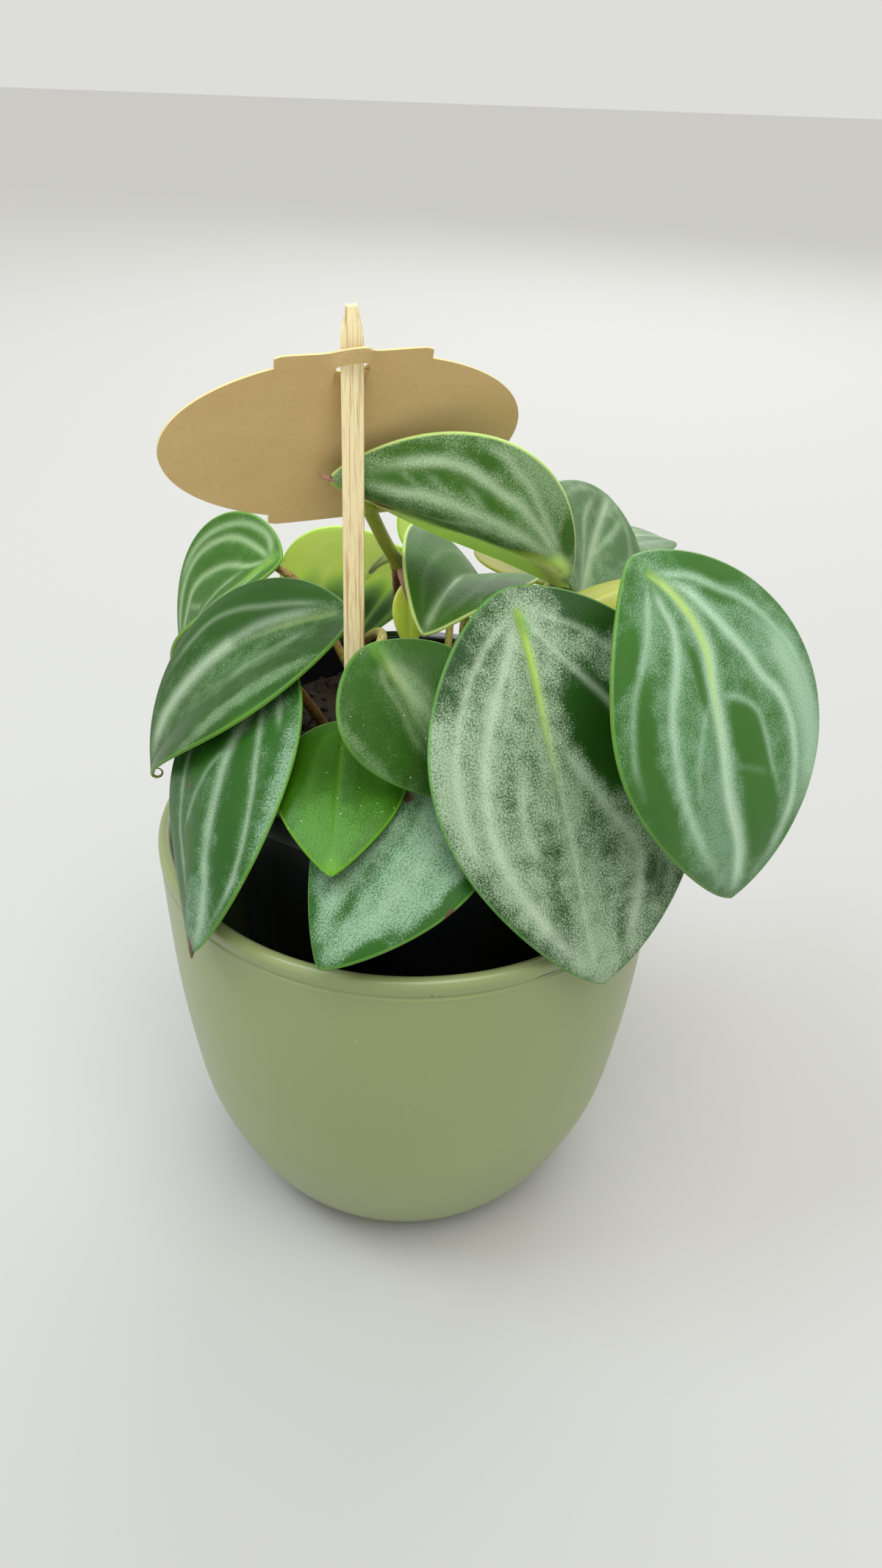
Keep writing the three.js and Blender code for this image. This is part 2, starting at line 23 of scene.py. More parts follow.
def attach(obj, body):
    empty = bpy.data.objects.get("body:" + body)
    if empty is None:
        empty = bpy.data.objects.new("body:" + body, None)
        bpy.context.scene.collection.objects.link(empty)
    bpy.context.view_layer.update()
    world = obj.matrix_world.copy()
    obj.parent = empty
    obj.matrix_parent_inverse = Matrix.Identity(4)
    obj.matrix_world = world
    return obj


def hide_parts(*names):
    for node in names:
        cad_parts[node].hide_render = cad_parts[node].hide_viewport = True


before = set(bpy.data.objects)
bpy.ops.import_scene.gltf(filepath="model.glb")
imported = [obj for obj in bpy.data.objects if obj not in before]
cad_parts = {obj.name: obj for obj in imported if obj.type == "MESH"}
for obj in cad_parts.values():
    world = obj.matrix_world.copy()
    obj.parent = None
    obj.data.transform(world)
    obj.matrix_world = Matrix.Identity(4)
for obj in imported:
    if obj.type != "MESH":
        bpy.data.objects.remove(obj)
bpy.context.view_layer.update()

MM = 0.001
BODY = "root"
ROOT_DEPTH = 134.0  # height of the buried ends of the stems and stalks
SOIL_TOP = 146.0
POT_BACK = 4.0  # how far the nursery pot stands behind the cachepot's middle
LOG = logging.getLogger("peperomia")

Point = tuple[float, float, float]
Rgba = tuple[float, float, float, float]


# ---- small tools ----


def linear(code: str) -> Rgba:
    """Turns an sRGB hex colour into linear light.

    Args:
        code: Six hex digits, such as "8a9270".

    Returns:
        Linear red, green and blue, and an alpha of 1.
    """
    parts = [int(code[i : i + 2], 16) / 255 for i in (0, 2, 4)]
    rgb = [c / 12.92 if c <= 0.04045 else ((c + 0.055) / 1.055) ** 2.4 for c in parts]
    return (rgb[0], rgb[1], rgb[2], 1.0)


def add_node(
    tree: bpy.types.NodeTree,
    kind: str,
    inputs: dict[str | int, object] | None = None,
    **settings: object,
) -> bpy.types.Node:
    """Adds one node with its settings, and sets or links its inputs.

    Args:
        tree: The node tree that gets the node.
        kind: The node's type name, without ShaderNode before it.
        inputs: A value, an output socket or a node (its first output) for each input.
        **settings: The node's own properties.

    Returns:
        The new node.
    """
    node = tree.nodes.new(f"ShaderNode{kind}")
    for key, value in settings.items():
        setattr(node, key, value)
    for key, value in (inputs or {}).items():
        if isinstance(value, bpy.types.Node):
            value = value.outputs[0]
        if isinstance(value, bpy.types.NodeSocket):
            tree.links.new(value, node.inputs[key])
        else:
            node.inputs[key].default_value = value
    return node


def ease(value: np.ndarray | float, low: float, high: float) -> np.ndarray:
    """Rises smoothly from 0 at low to 1 at high."""
    t = np.clip((np.asarray(value, float) - low) / (high - low), 0.0, 1.0)
    return t * t * (3.0 - 2.0 * t)


def unit(vectors: np.ndarray) -> np.ndarray:
    """Scales each vector of the last axis to length 1."""
    return vectors / np.maximum(np.linalg.norm(vectors, axis=-1, keepdims=True), 1e-9)


def spline(points: Sequence, count: int) -> np.ndarray:
    """Samples a centripetal Catmull-Rom curve through the points.

    Args:
        points: The points that the curve goes through, in two or three dimensions.
        count: How many samples to take, both ends included.

    Returns:
        The samples, one row each.
    """
    p = np.asarray(points, float)
    if len(p) == 2:
        return p[0] + (p[1] - p[0]) * np.linspace(0, 1, count)[:, None]
    padded = np.vstack([2 * p[0] - p[1], p, 2 * p[-1] - p[-2]])
    out = []
    for place in np.linspace(0, len(p) - 1, count):
        i = min(int(place), len(p) - 2)
        w = place - i
        a, b, c, d = padded[i : i + 4]
        d0, d1, d2 = (max(np.linalg.norm(v) ** 0.5, 1e-4) for v in (b - a, c - b, d - c))
        t1 = ((b - a) / d0 - (c - a) / (d0 + d1) + (c - b) / d1) * d1
        t2 = ((c - b) / d1 - (d - b) / (d1 + d2) + (d - c) / d2) * d1
        out.append(b + t1 * w + (3 * (c - b) - 2 * t1 - t2) * w**2 + (2 * (b - c) + t1 + t2) * w**3)
    return np.array(out)


@dataclass
class Shell:
    """Points and faces of a mesh that is being built, in millimetres."""

    points: np.ndarray
    faces: list[tuple[int, ...]]
    slots: list[int] = field(default_factory=list)
    marks: dict[str, np.ndarray] = field(default_factory=dict)

    def joined(self, other: Shell) -> Shell:
        """Puts another shell beside this one, with zero for its marks.

        Args:
            other: The shell that is added.

        Returns:
            A shell with the faces of both.
        """
        start = len(self.points)
        faces = self.faces + [tuple(i + start for i in f) for f in other.faces]
        marks = {key: np.vstack([values, np.zeros(other.points.shape)]) for key, values in self.marks.items()}
        return Shell(np.vstack([self.points, other.points]), faces, self.slots + other.slots, marks)

    def piece(self, name: str, materials: list[bpy.types.Material], sharp: float) -> bpy.types.Object:
        """Makes the Blender object.

        Args:
            name: The piece's name.
            materials: Its materials, in slot order.
            sharp: Edges that turn by more degrees than this are drawn hard.

        Returns:
            The new object, linked to the scene.
        """
        mesh = bpy.data.meshes.new(name)
        mesh.from_pydata((self.points * MM).tolist(), [], self.faces)
        for material in materials:
            mesh.materials.append(material)
        if self.slots:
            mesh.polygons.foreach_set("material_index", self.slots)
        for key, values in self.marks.items():
            layer = mesh.attributes.new(key, "FLOAT_VECTOR", "POINT")
            layer.data.foreach_set("vector", values.ravel())
        mesh.validate()
        mesh.shade_smooth()
        mesh.set_sharp_from_angle(angle=math.radians(sharp))
        piece = bpy.data.objects.new(name, mesh)
        bpy.context.scene.collection.objects.link(piece)
        return piece


def fit_out(piece: bpy.types.Object, slot: str, *nodes: str) -> bpy.types.Object:
    """Ties a piece to the body, and hides the solids that it stands for.

    Args:
        piece: The visible piece.
        slot: Not used.
        *nodes: The solids that it replaces.

    Returns:
        The same piece.
    """
    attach(piece, BODY)
    if nodes:
        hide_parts(*nodes)
    return piece


def tube(path: np.ndarray, radii: np.ndarray | float, sides: int) -> Shell:
    """Sweeps a round section along a path and closes both ends with low domes.

    Args:
        path: Points along the middle, one row each.
        radii: One radius, or one for each point.
        sides: Steps round the section.

    Returns:
        A closed shell.
    """
    path = np.asarray(path, float)
    radii = np.broadcast_to(np.asarray(radii, float), (len(path),))
    tangents = unit(np.gradient(path, axis=0))
    normal = np.cross(tangents[0], [0.31, 0.95, 0.05])
    normal /= np.linalg.norm(normal)
    turn = np.linspace(0, 2 * math.pi, sides, endpoint=False)
    rings = []
    for k, (centre, along, radius) in enumerate(zip(path, tangents, radii)):
        normal = normal - along * np.dot(normal, along)
        normal /= np.linalg.norm(normal)
        across = np.cross(along, normal)
        circle = np.cos(turn)[:, None] * normal + np.sin(turn)[:, None] * across
        if k == 0:
            rings.append(centre - along * radius * 0.35 + circle * radius * 0.7)
        rings.append(centre + circle * radius)
        if k == len(path) - 1:
            rings.append(centre + along * radius * 0.35 + circle * radius * 0.7)
    ends = [path[0] - tangents[0] * radii[0] * 0.5, path[-1] + tangents[-1] * radii[-1] * 0.5]
    points = np.vstack([*rings, *ends])
    faces: list[tuple[int, ...]] = []
    count = len(rings)
    for i in range(count - 1):
        for j in range(sides):
            n = (j + 1) % sides
            faces.append((i * sides + j, i * sides + n, (i + 1) * sides + n, (i + 1) * sides + j))
    first, last = count * sides, count * sides + 1
    for j in range(sides):
        n = (j + 1) % sides
        faces.append((first, n, j))
        faces.append((last, (count - 1) * sides + j, (count - 1) * sides + n))
    return Shell(points, faces)


def turned(profile: np.ndarray, steps: int) -> Shell:
    """Turns a closed profile about the upright axis.

    Args:
        profile: Radius and height, one row each, from the axis out and back to the axis.
        steps: Steps round the axis.

    Returns:
        A closed shell.
    """
    body = profile[1:-1]
    angle = np.linspace(0, 2 * math.pi, steps, endpoint=False)
    radius, height = body.T
    across = [np.outer(np.cos(angle), radius), np.outer(np.sin(angle), radius)]
    rings = np.stack([*across, np.tile(height, (steps, 1))], axis=-1)
    points = np.vstack([rings.reshape(-1, 3), [0, 0, profile[0, 1]], [0, 0, profile[-1, 1]]])
    n = len(body)
    faces: list[tuple[int, ...]] = []
    for i in range(steps):
        k = (i + 1) % steps
        for j in range(n - 1):
            faces.append((i * n + j, k * n + j, k * n + j + 1, i * n + j + 1))
        faces.append((steps * n, k * n, i * n))
        faces.append((steps * n + 1, i * n + n - 1, k * n + n - 1))
    return Shell(points, faces)


def rounded(corners: list[Point], steps: int = 5) -> np.ndarray:
    """Rounds the corners of a profile.

    Args:
        corners: Radius, height and corner radius of each corner.
        steps: Steps round each corner.

    Returns:
        The rounded profile, one row each.
    """
    out: list[np.ndarray] = []
    for i, (x, y, size) in enumerate(corners):
        here = np.array([x, y])
        if size <= 0 or i in (0, len(corners) - 1):
            out.append(here)
            continue
        back = unit(np.array(corners[i - 1][:2]) - here)
        ahead = unit(np.array(corners[i + 1][:2]) - here)
        for w in np.linspace(0, 1, steps):
            start, end = here + back * size, here + ahead * size
            out.append((1 - w) ** 2 * start + 2 * w * (1 - w) * here + w**2 * end)
    return np.array(out)


# ---- finishes ----

SMOOTH = {"interpolation_type": "SMOOTHSTEP"}
# Living tissue passes green light furthest and blue least, over a few millimetres.
TISSUE_GLOW = {"Subsurface Radius": (0.8, 1.0, 0.3), "Subsurface Scale": 4 * MM}

Look = tuple[str, list[tuple[object, str]], dict[str, object]]


@dataclass(frozen=True)
class Surface:
    """A finish, whose colour is laid on in layers under one Principled shader."""

    name: str

    def build(self) -> bpy.types.Material:
        """Makes the material.

        Returns:
            The material, with each layer laid over the ground in turn.
        """
        material = bpy.data.materials.new(self.name)
        material.use_nodes = True
        tree = material.node_tree
        tree.nodes.clear()
        ground, layers, inputs = self.look(tree)
        colour: object = linear(ground)
        for mask, code in layers:
            mix = add_node(tree, "Mix", {"Factor": mask, 6: colour, 7: linear(code)}, data_type="RGBA")
            colour = mix.outputs[2]
        shader = add_node(tree, "BsdfPrincipled", {"Base Color": colour, **inputs})
        add_node(tree, "OutputMaterial", {"Surface": shader})
        return material

    def look(self, tree: bpy.types.NodeTree) -> Look:
        """Returns the ground colour, each layer's mask and colour, and the shader's other inputs."""
        raise NotImplementedError


@dataclass(frozen=True)
class BladeSurface(Surface):
    """A side of a leaf blade, which reads the marks that the blade's mesh carries."""

    def marks(self, tree: bpy.types.NodeTree) -> tuple[bpy.types.NodeSocket, ...]:
        """Reads the marks.

        Args:
            tree: The material's node tree.

        Returns:
            The place on the flat blade, in mm, then frost, vein, rib, edge, scar and pale.
        """
        read = [add_node(tree, "Attribute", attribute_name=name) for name in ("blade", "marks", "rims")]
        place, marks, rims = (node.outputs["Vector"] for node in read)
        split = [add_node(tree, "SeparateXYZ", {0: vector}).outputs for vector in (marks, rims)]
        return (place, *split[0], *split[1])


@dataclass(frozen=True)
class LeafSkin(BladeSurface):
    """Waxy upper leaf skin: dark green tissue under a frost of tiny air-filled cells.

    The frost gathers along the veins and thins out between them, so it breaks up
    into grains. The real ones are about 0.3 mm wide, which is too fine to show, so
    they are drawn 0.45 mm wide. The skin is waxy, which gives broad soft lights.
    Where it is pale it also lets light through. A few leaves carry specks of dust.
    """

    dark: str
    fresh: str
    silver: str
    vein: str
    rib: str
    margin: str
    scar: str = "5a4634"
    dust: str = "dfe6d2"
    cover: float = 0.85
    roughness: float = 0.36
    grain: float = 0.45
    gloss: float = 0.3
    specks: float = 0.0

    def look(self, tree: bpy.types.NodeTree) -> Look:
        """Frosts the tissue, then adds veins, midrib, margin, dried spots and dust.

        Args:
            tree: The material's node tree.

        Returns:
            The ground, the layers over it, and the shader's other inputs.
        """
        place, frost, vein, rib, edge, scar, pale = self.marks(tree)
        fine = {"Vector": place, "Scale": 1 / self.grain, "Detail": 2.0, "Roughness": 0.6}
        grains = add_node(tree, "TexNoise", fine)
        cloud = add_node(tree, "TexNoise", {"Vector": place, "Scale": 0.22, "Detail": 3.0})
        broad = add_node(tree, "TexNoise", {"Vector": place, "Scale": 0.05, "Detail": 1.0})
        loose = add_node(tree, "Math", {0: grains, 1: 1.3, 2: frost}, operation="MULTIPLY_ADD")
        patchy = add_node(tree, "Math", {0: cloud, 1: 1.0, 2: loose}, operation="MULTIPLY_ADD")
        dense = {"Value": patchy, "From Min": 1.2, "From Max": 2.05, "To Max": self.cover}
        haze = add_node(tree, "MapRange", dense, **SMOOTH)
        spread = {"Value": grains, "From Min": 0.36, "From Max": 0.64, "To Min": 0.54, "To Max": 1.22}
        glint = add_node(tree, "MapRange", spread)
        cover = add_node(tree, "Math", {0: haze, 1: glint}, operation="MULTIPLY", use_clamp=True)
        drawn = add_node(tree, "Math", {0: grains, 1: 1.1, 2: 0.3}, operation="MULTIPLY_ADD", use_clamp=True)
        line = add_node(tree, "Math", {0: drawn, 1: vein}, operation="MULTIPLY", use_clamp=True)
        outer = {"Value": edge, "From Min": 0.9, "From Max": 0.3, "To Max": 0.7}
        rim = add_node(tree, "MapRange", outer, **SMOOTH)
        ragged = add_node(tree, "Math", {0: cloud, 1: 1.2, 2: scar}, operation="MULTIPLY_ADD")
        dead = add_node(tree, "MapRange", {"Value": ragged, "From Min": 1.1, "From Max": 1.35}, **SMOOTH)
        cells = add_node(tree, "TexVoronoi", {"Vector": place, "Scale": 0.32}).outputs["Distance"]
        near = add_node(tree, "MapRange", {"Value": cells, "From Min": 0.07, "From Max": 0.04})
        few = add_node(tree, "Math", {0: near, 1: self.specks}, operation="MULTIPLY")
        waxy = {"Value": cover, "To Min": self.roughness, "To Max": self.roughness + 0.08}
        height = add_node(tree, "Math", {0: cloud, 1: 1.6, 2: grains}, operation="MULTIPLY_ADD")
        layers = [
            (broad, self.fresh), (cover, self.silver), (line, self.vein), (rib, self.rib),
            (pale, self.margin), (rim, self.margin), (dead, self.scar), (few, self.dust),
        ]
        return self.dark, layers, {
            "Roughness": add_node(tree, "MapRange", waxy),
            "Normal": add_node(tree, "Bump", {"Strength": 0.55, "Distance": 0.2 * MM, "Height": height}),
            "IOR": 1.44,
            "Specular IOR Level": self.gloss,
            "Subsurface Weight": pale,
            **TISSUE_GLOW,
        }


@dataclass(frozen=True)
class LeafBack(BladeSurface):
    """Matt underside of a leaf: pale, even tissue with its veins standing out a little.

    A blade is about 1 mm thick and lets light through, so a thin one glows from below.
    """

    tissue: str
    shade: str
    vein: str
    # colour of the painted shade laid on the underside where the frost is below zero
    deep: str = "456a24"
    margin: str = "8db548"
    dried: str = "6b5236"
    roughness: float = 0.5
    through: float = 0.3

    def look(self, tree: bpy.types.NodeTree) -> Look:
        """Clouds the tissue, paints shade where the frost is below zero, and draws the veins and the margin
        paler.

        Args:
            tree: The material's node tree.

        Returns:
            The ground, the layers over it, and the shader's other inputs.
        """
        place, frost, vein, rib, edge, scar, _ = self.marks(tree)
        cloud = add_node(tree, "TexNoise", {"Vector": place, "Scale": 0.09, "Detail": 3.0})
        cells = add_node(tree, "TexNoise", {"Vector": place, "Scale": 2.6, "Detail": 2.0})
        # painted shade: the underside turns to the deep colour where the coat's frost is below zero
        deep = add_node(tree, "Math", {0: frost, 1: -1.0}, operation="MULTIPLY", use_clamp=True)
        soft = add_node(tree, "Math", {0: vein, 1: 0.5}, operation="MULTIPLY")
        raised = add_node(tree, "Math", {0: rib, 1: 0.8, 2: soft}, operation="MULTIPLY_ADD", use_clamp=True)
        outer = {"Value": edge, "From Min": 1.0, "From Max": 0.3, "To Max": 0.8}
        rim = add_node(tree, "MapRange", outer, **SMOOTH)
        layers = [(cloud, self.tissue), (deep, self.deep), (raised, self.vein), (rim, self.margin)]
        layers.append((scar, self.dried))
        return self.shade, layers, {
            "Roughness": self.roughness,
            "Normal": add_node(tree, "Bump", {"Strength": 0.3, "Distance": 0.1 * MM, "Height": cells}),
            "Subsurface Weight": self.through,
            **TISSUE_GLOW,
        }


@dataclass(frozen=True)
class StemSkin(Surface):
    """Fleshy stem skin: smooth and faintly glossy, flecked with brown corky dots under 1 mm."""

    ground: str
    warm: str
    fleck: str = "5b3320"
    flecks: float = 0.5
    roughness: float = 0.42

    def look(self, tree: bpy.types.NodeTree) -> Look:
        """Warms the skin in places and flecks it.

        Args:
            tree: The material's node tree.

        Returns:
            The ground, the layers over it, and the shader's other inputs.
        """
        place = add_node(tree, "TexCoord").outputs["Object"]
        broad = add_node(tree, "TexNoise", {"Vector": place, "Scale": 60.0, "Detail": 2.0})
        spots = add_node(tree, "TexNoise",
                         {"Vector": place, "Scale": 1500.0, "Detail": 2.0, "Roughness": 0.65})
        warm = add_node(tree, "MapRange", {"Value": broad, "From Min": 0.38, "From Max": 0.62}, **SMOOTH)
        rare = 0.3 * self.flecks
        corky = {"Value": spots, "From Min": 0.66 - rare, "From Max": 0.72 - rare, "To Max": 0.8}
        fleck = add_node(tree, "MapRange", corky, **SMOOTH)
        return self.ground, [(warm, self.warm), (fleck, self.fleck)], {
            "Roughness": self.roughness,
            "Normal": add_node(tree, "Bump", {"Strength": 0.4, "Distance": 0.15 * MM, "Height": spots}),
            "IOR": 1.44,
        }


@dataclass(frozen=True)
class MouldedPlastic(Surface):
    """Moulded polypropylene: one colour all through, with a satin skin from the mould.

    Flow in the mould leaves the colour a little uneven over centimetres, and the
    mould's fine texture, about 0.3 mm, keeps the lights soft. Handling leaves a few
    dull specks, and scuffs, each given by its turn round the pot in degrees, its
    height, and its half width in degrees and half height in mm.
    """

    colour: str
    deep: str
    speck: str = "d9d8c8"
    scuff: str = "24261e"
    roughness: float = 0.4
    texture: float = 0.25
    specks: float = 0.0
    streaks: float = 0.0
    scuffs: tuple[tuple[float, float, float, float], ...] = ()

    def look(self, tree: bpy.types.NodeTree) -> Look:
        """Lets the colour flow, and adds the specks and scuffs.

        Args:
            tree: The material's node tree.

        Returns:
            The ground, the layers over it, and the shader's other inputs.
        """
        place = add_node(tree, "TexCoord").outputs["Object"]
        tall = add_node(tree, "Mapping", {"Vector": place, "Scale": (1.0, 1.0, 1.0 - 0.9 * self.streaks)})
        flow = add_node(tree, "TexNoise",
                        {"Vector": tall, "Scale": 18.0 + 160.0 * self.streaks, "Detail": 3.0})
        grain = add_node(tree, "TexNoise", {"Vector": place, "Scale": 3200.0, "Detail": 1.0})
        dust = add_node(tree, "TexNoise", {"Vector": place, "Scale": 420.0, "Detail": 2.0, "Roughness": 0.7})
        dull = {"Value": dust, "From Min": 0.74, "From Max": 0.79, "To Max": self.specks}
        layers = [(flow, self.colour), (add_node(tree, "MapRange", dull), self.speck)]
        x, y, z = add_node(tree, "SeparateXYZ", {0: place}).outputs
        turn = add_node(tree, "Math", {0: y, 1: x}, operation="ARCTAN2")
        for angle, height, wide, tall_by in self.scuffs:
            # how far from the scuff's middle, in half widths and half heights
            off = add_node(tree, "Math", {0: turn, 1: math.radians(angle)}, operation="SUBTRACT")
            across = add_node(tree, "Math", {0: off, 1: math.radians(wide)}, operation="DIVIDE")
            rise = add_node(tree, "Math", {0: z, 1: height * MM}, operation="SUBTRACT")
            along = add_node(tree, "Math", {0: rise, 1: tall_by * MM}, operation="DIVIDE")
            both = add_node(tree, "CombineXYZ", {0: across, 1: along})
            gap = add_node(tree, "VectorMath", {0: both}, operation="LENGTH").outputs["Value"]
            rubbed = {"Value": gap, "From Min": 1.1, "From Max": 0.6, "To Max": 0.85}
            layers.append((add_node(tree, "MapRange", rubbed), self.scuff))
        satin = {"Value": flow, "To Min": self.roughness - 0.04, "To Max": self.roughness + 0.05}
        relief = {"Strength": self.texture, "Distance": 0.04 * MM, "Height": grain}
        return self.deep, layers, {
            "Roughness": add_node(tree, "MapRange", satin),
            "Normal": add_node(tree, "Bump", relief),
            "IOR": 1.49,
        }


@dataclass(frozen=True)
class PeatMix(Surface):
    """Damp peat potting mix: nearly black, with brown fibre and a dull, slightly wet shine."""

    name: str = "damp_peat_mix"
    wet: str = "0e0b09"
    brown: str = "3a2a1e"
    straw: str = "6b4d33"

    def look(self, tree: bpy.types.NodeTree) -> Look:
        """Mottles the clods and strews fibre over them.

        Args:
            tree: The material's node tree.

        Returns:
            The ground, the layers over it, and the shader's other inputs.
        """
        place = add_node(tree, "TexCoord").outputs["Object"]
        clods = add_node(tree, "TexNoise",
                         {"Vector": place, "Scale": 260.0, "Detail": 4.0, "Roughness": 0.65})
        fibre = add_node(tree, "TexNoise", {"Vector": place, "Scale": 1400.0, "Detail": 3.0})
        straw = add_node(tree, "MapRange",
                         {"Value": fibre, "From Min": 0.62, "From Max": 0.72, "To Max": 0.5})
        return self.wet, [(clods, self.brown), (straw, self.straw)], {
            "Roughness": 0.8,
            "Normal": add_node(tree, "Bump", {"Strength": 0.8, "Distance": 0.6 * MM, "Height": clods}),
        }


@dataclass(frozen=True)
class SplitBamboo(Surface):
    """Split and planed bamboo: straw-coloured, with darker fibre bundles every 0.7 mm.

    The bundles run the length of the stick. Planed bamboo is dry and nearly matt.
    """

    name: str = "split_bamboo"
    pale: str = "fdf0c4"
    straw: str = "f3dca2"
    bundle: str = "b8975c"

    def look(self, tree: bpy.types.NodeTree) -> Look:
        """Draws fibre bundles and finer fibres along the stick.

        Args:
            tree: The material's node tree.

        Returns:
            The ground, the layers over it, and the shader's other inputs.
        """
        place = add_node(tree, "TexCoord").outputs["Object"]
        long = add_node(tree, "Mapping", {"Vector": place, "Scale": (1.0, 1.0, 0.02)})
        fine = add_node(tree, "Mapping", {"Vector": place, "Scale": (1.0, 1.0, 0.06)})
        bundles = add_node(tree, "TexNoise", {"Vector": long, "Scale": 1900.0, "Detail": 2.0})
        fibres = add_node(tree, "TexNoise", {"Vector": fine, "Scale": 3600.0, "Detail": 2.0})
        broad = add_node(tree, "TexNoise", {"Vector": place, "Scale": 45.0, "Detail": 2.0})
        thick = {"Value": bundles, "From Min": 0.5, "From Max": 0.66, "To Max": 0.8}
        dark = add_node(tree, "MapRange", thick, **SMOOTH)
        thin = add_node(tree, "MapRange", {"Value": fibres, "From Min": 0.5, "From Max": 0.7, "To Max": 0.35})
        return self.pale, [(broad, self.straw), (dark, self.bundle), (thin, self.bundle)], {
            "Roughness": 0.55,
            "Normal": add_node(tree, "Bump", {"Strength": 0.5, "Distance": 0.15 * MM, "Height": bundles}),
            "IOR": 1.5,
        }


@dataclass(frozen=True)
class KraftBoard(Surface):
    """Unbleached kraft board: brown, matt, with short fibres and cloudy shade from the pulp."""

    brown: str = "dabe86"
    shade: str = "c9a96d"
    fibre: str = "a5844e"
    flecks: float = 0.35

    def look(self, tree: bpy.types.NodeTree) -> Look:
        """Clouds the pulp and flecks it with fibres.

        Args:
            tree: The material's node tree.

        Returns:
            The ground, the layers over it, and the shader's other inputs.
        """
        place = add_node(tree, "TexCoord").outputs["Object"]
        long = add_node(tree, "Mapping", {"Vector": place, "Scale": (0.35, 0.35, 1.0)})
        pulp = add_node(tree, "TexNoise", {"Vector": long, "Scale": 130.0, "Detail": 5.0, "Roughness": 0.6})
        fibres = add_node(tree, "TexNoise",
                          {"Vector": long, "Scale": 2600.0, "Detail": 3.0, "Roughness": 0.7})
        short = {"Value": fibres, "From Min": 0.52, "From Max": 0.74, "To Max": self.flecks}
        fleck = add_node(tree, "MapRange", short)
        return self.shade, [(pulp, self.brown), (fleck, self.fibre)], {
            "Roughness": 0.78,
            "Normal": add_node(tree, "Bump", {"Strength": 0.3, "Distance": 0.06 * MM, "Height": fibres}),
        }


@dataclass(frozen=True)
class StudioFloor(Surface):
    """Matt pale grey paint, which shows soft shadows and no pattern."""

    name: str = "pale_studio_floor"
    grey: str = "b0b0ad"

    def look(self, tree: bpy.types.NodeTree) -> Look:
        """Returns plain paint with no layers."""
        return self.grey, [], {"Roughness": 0.8}


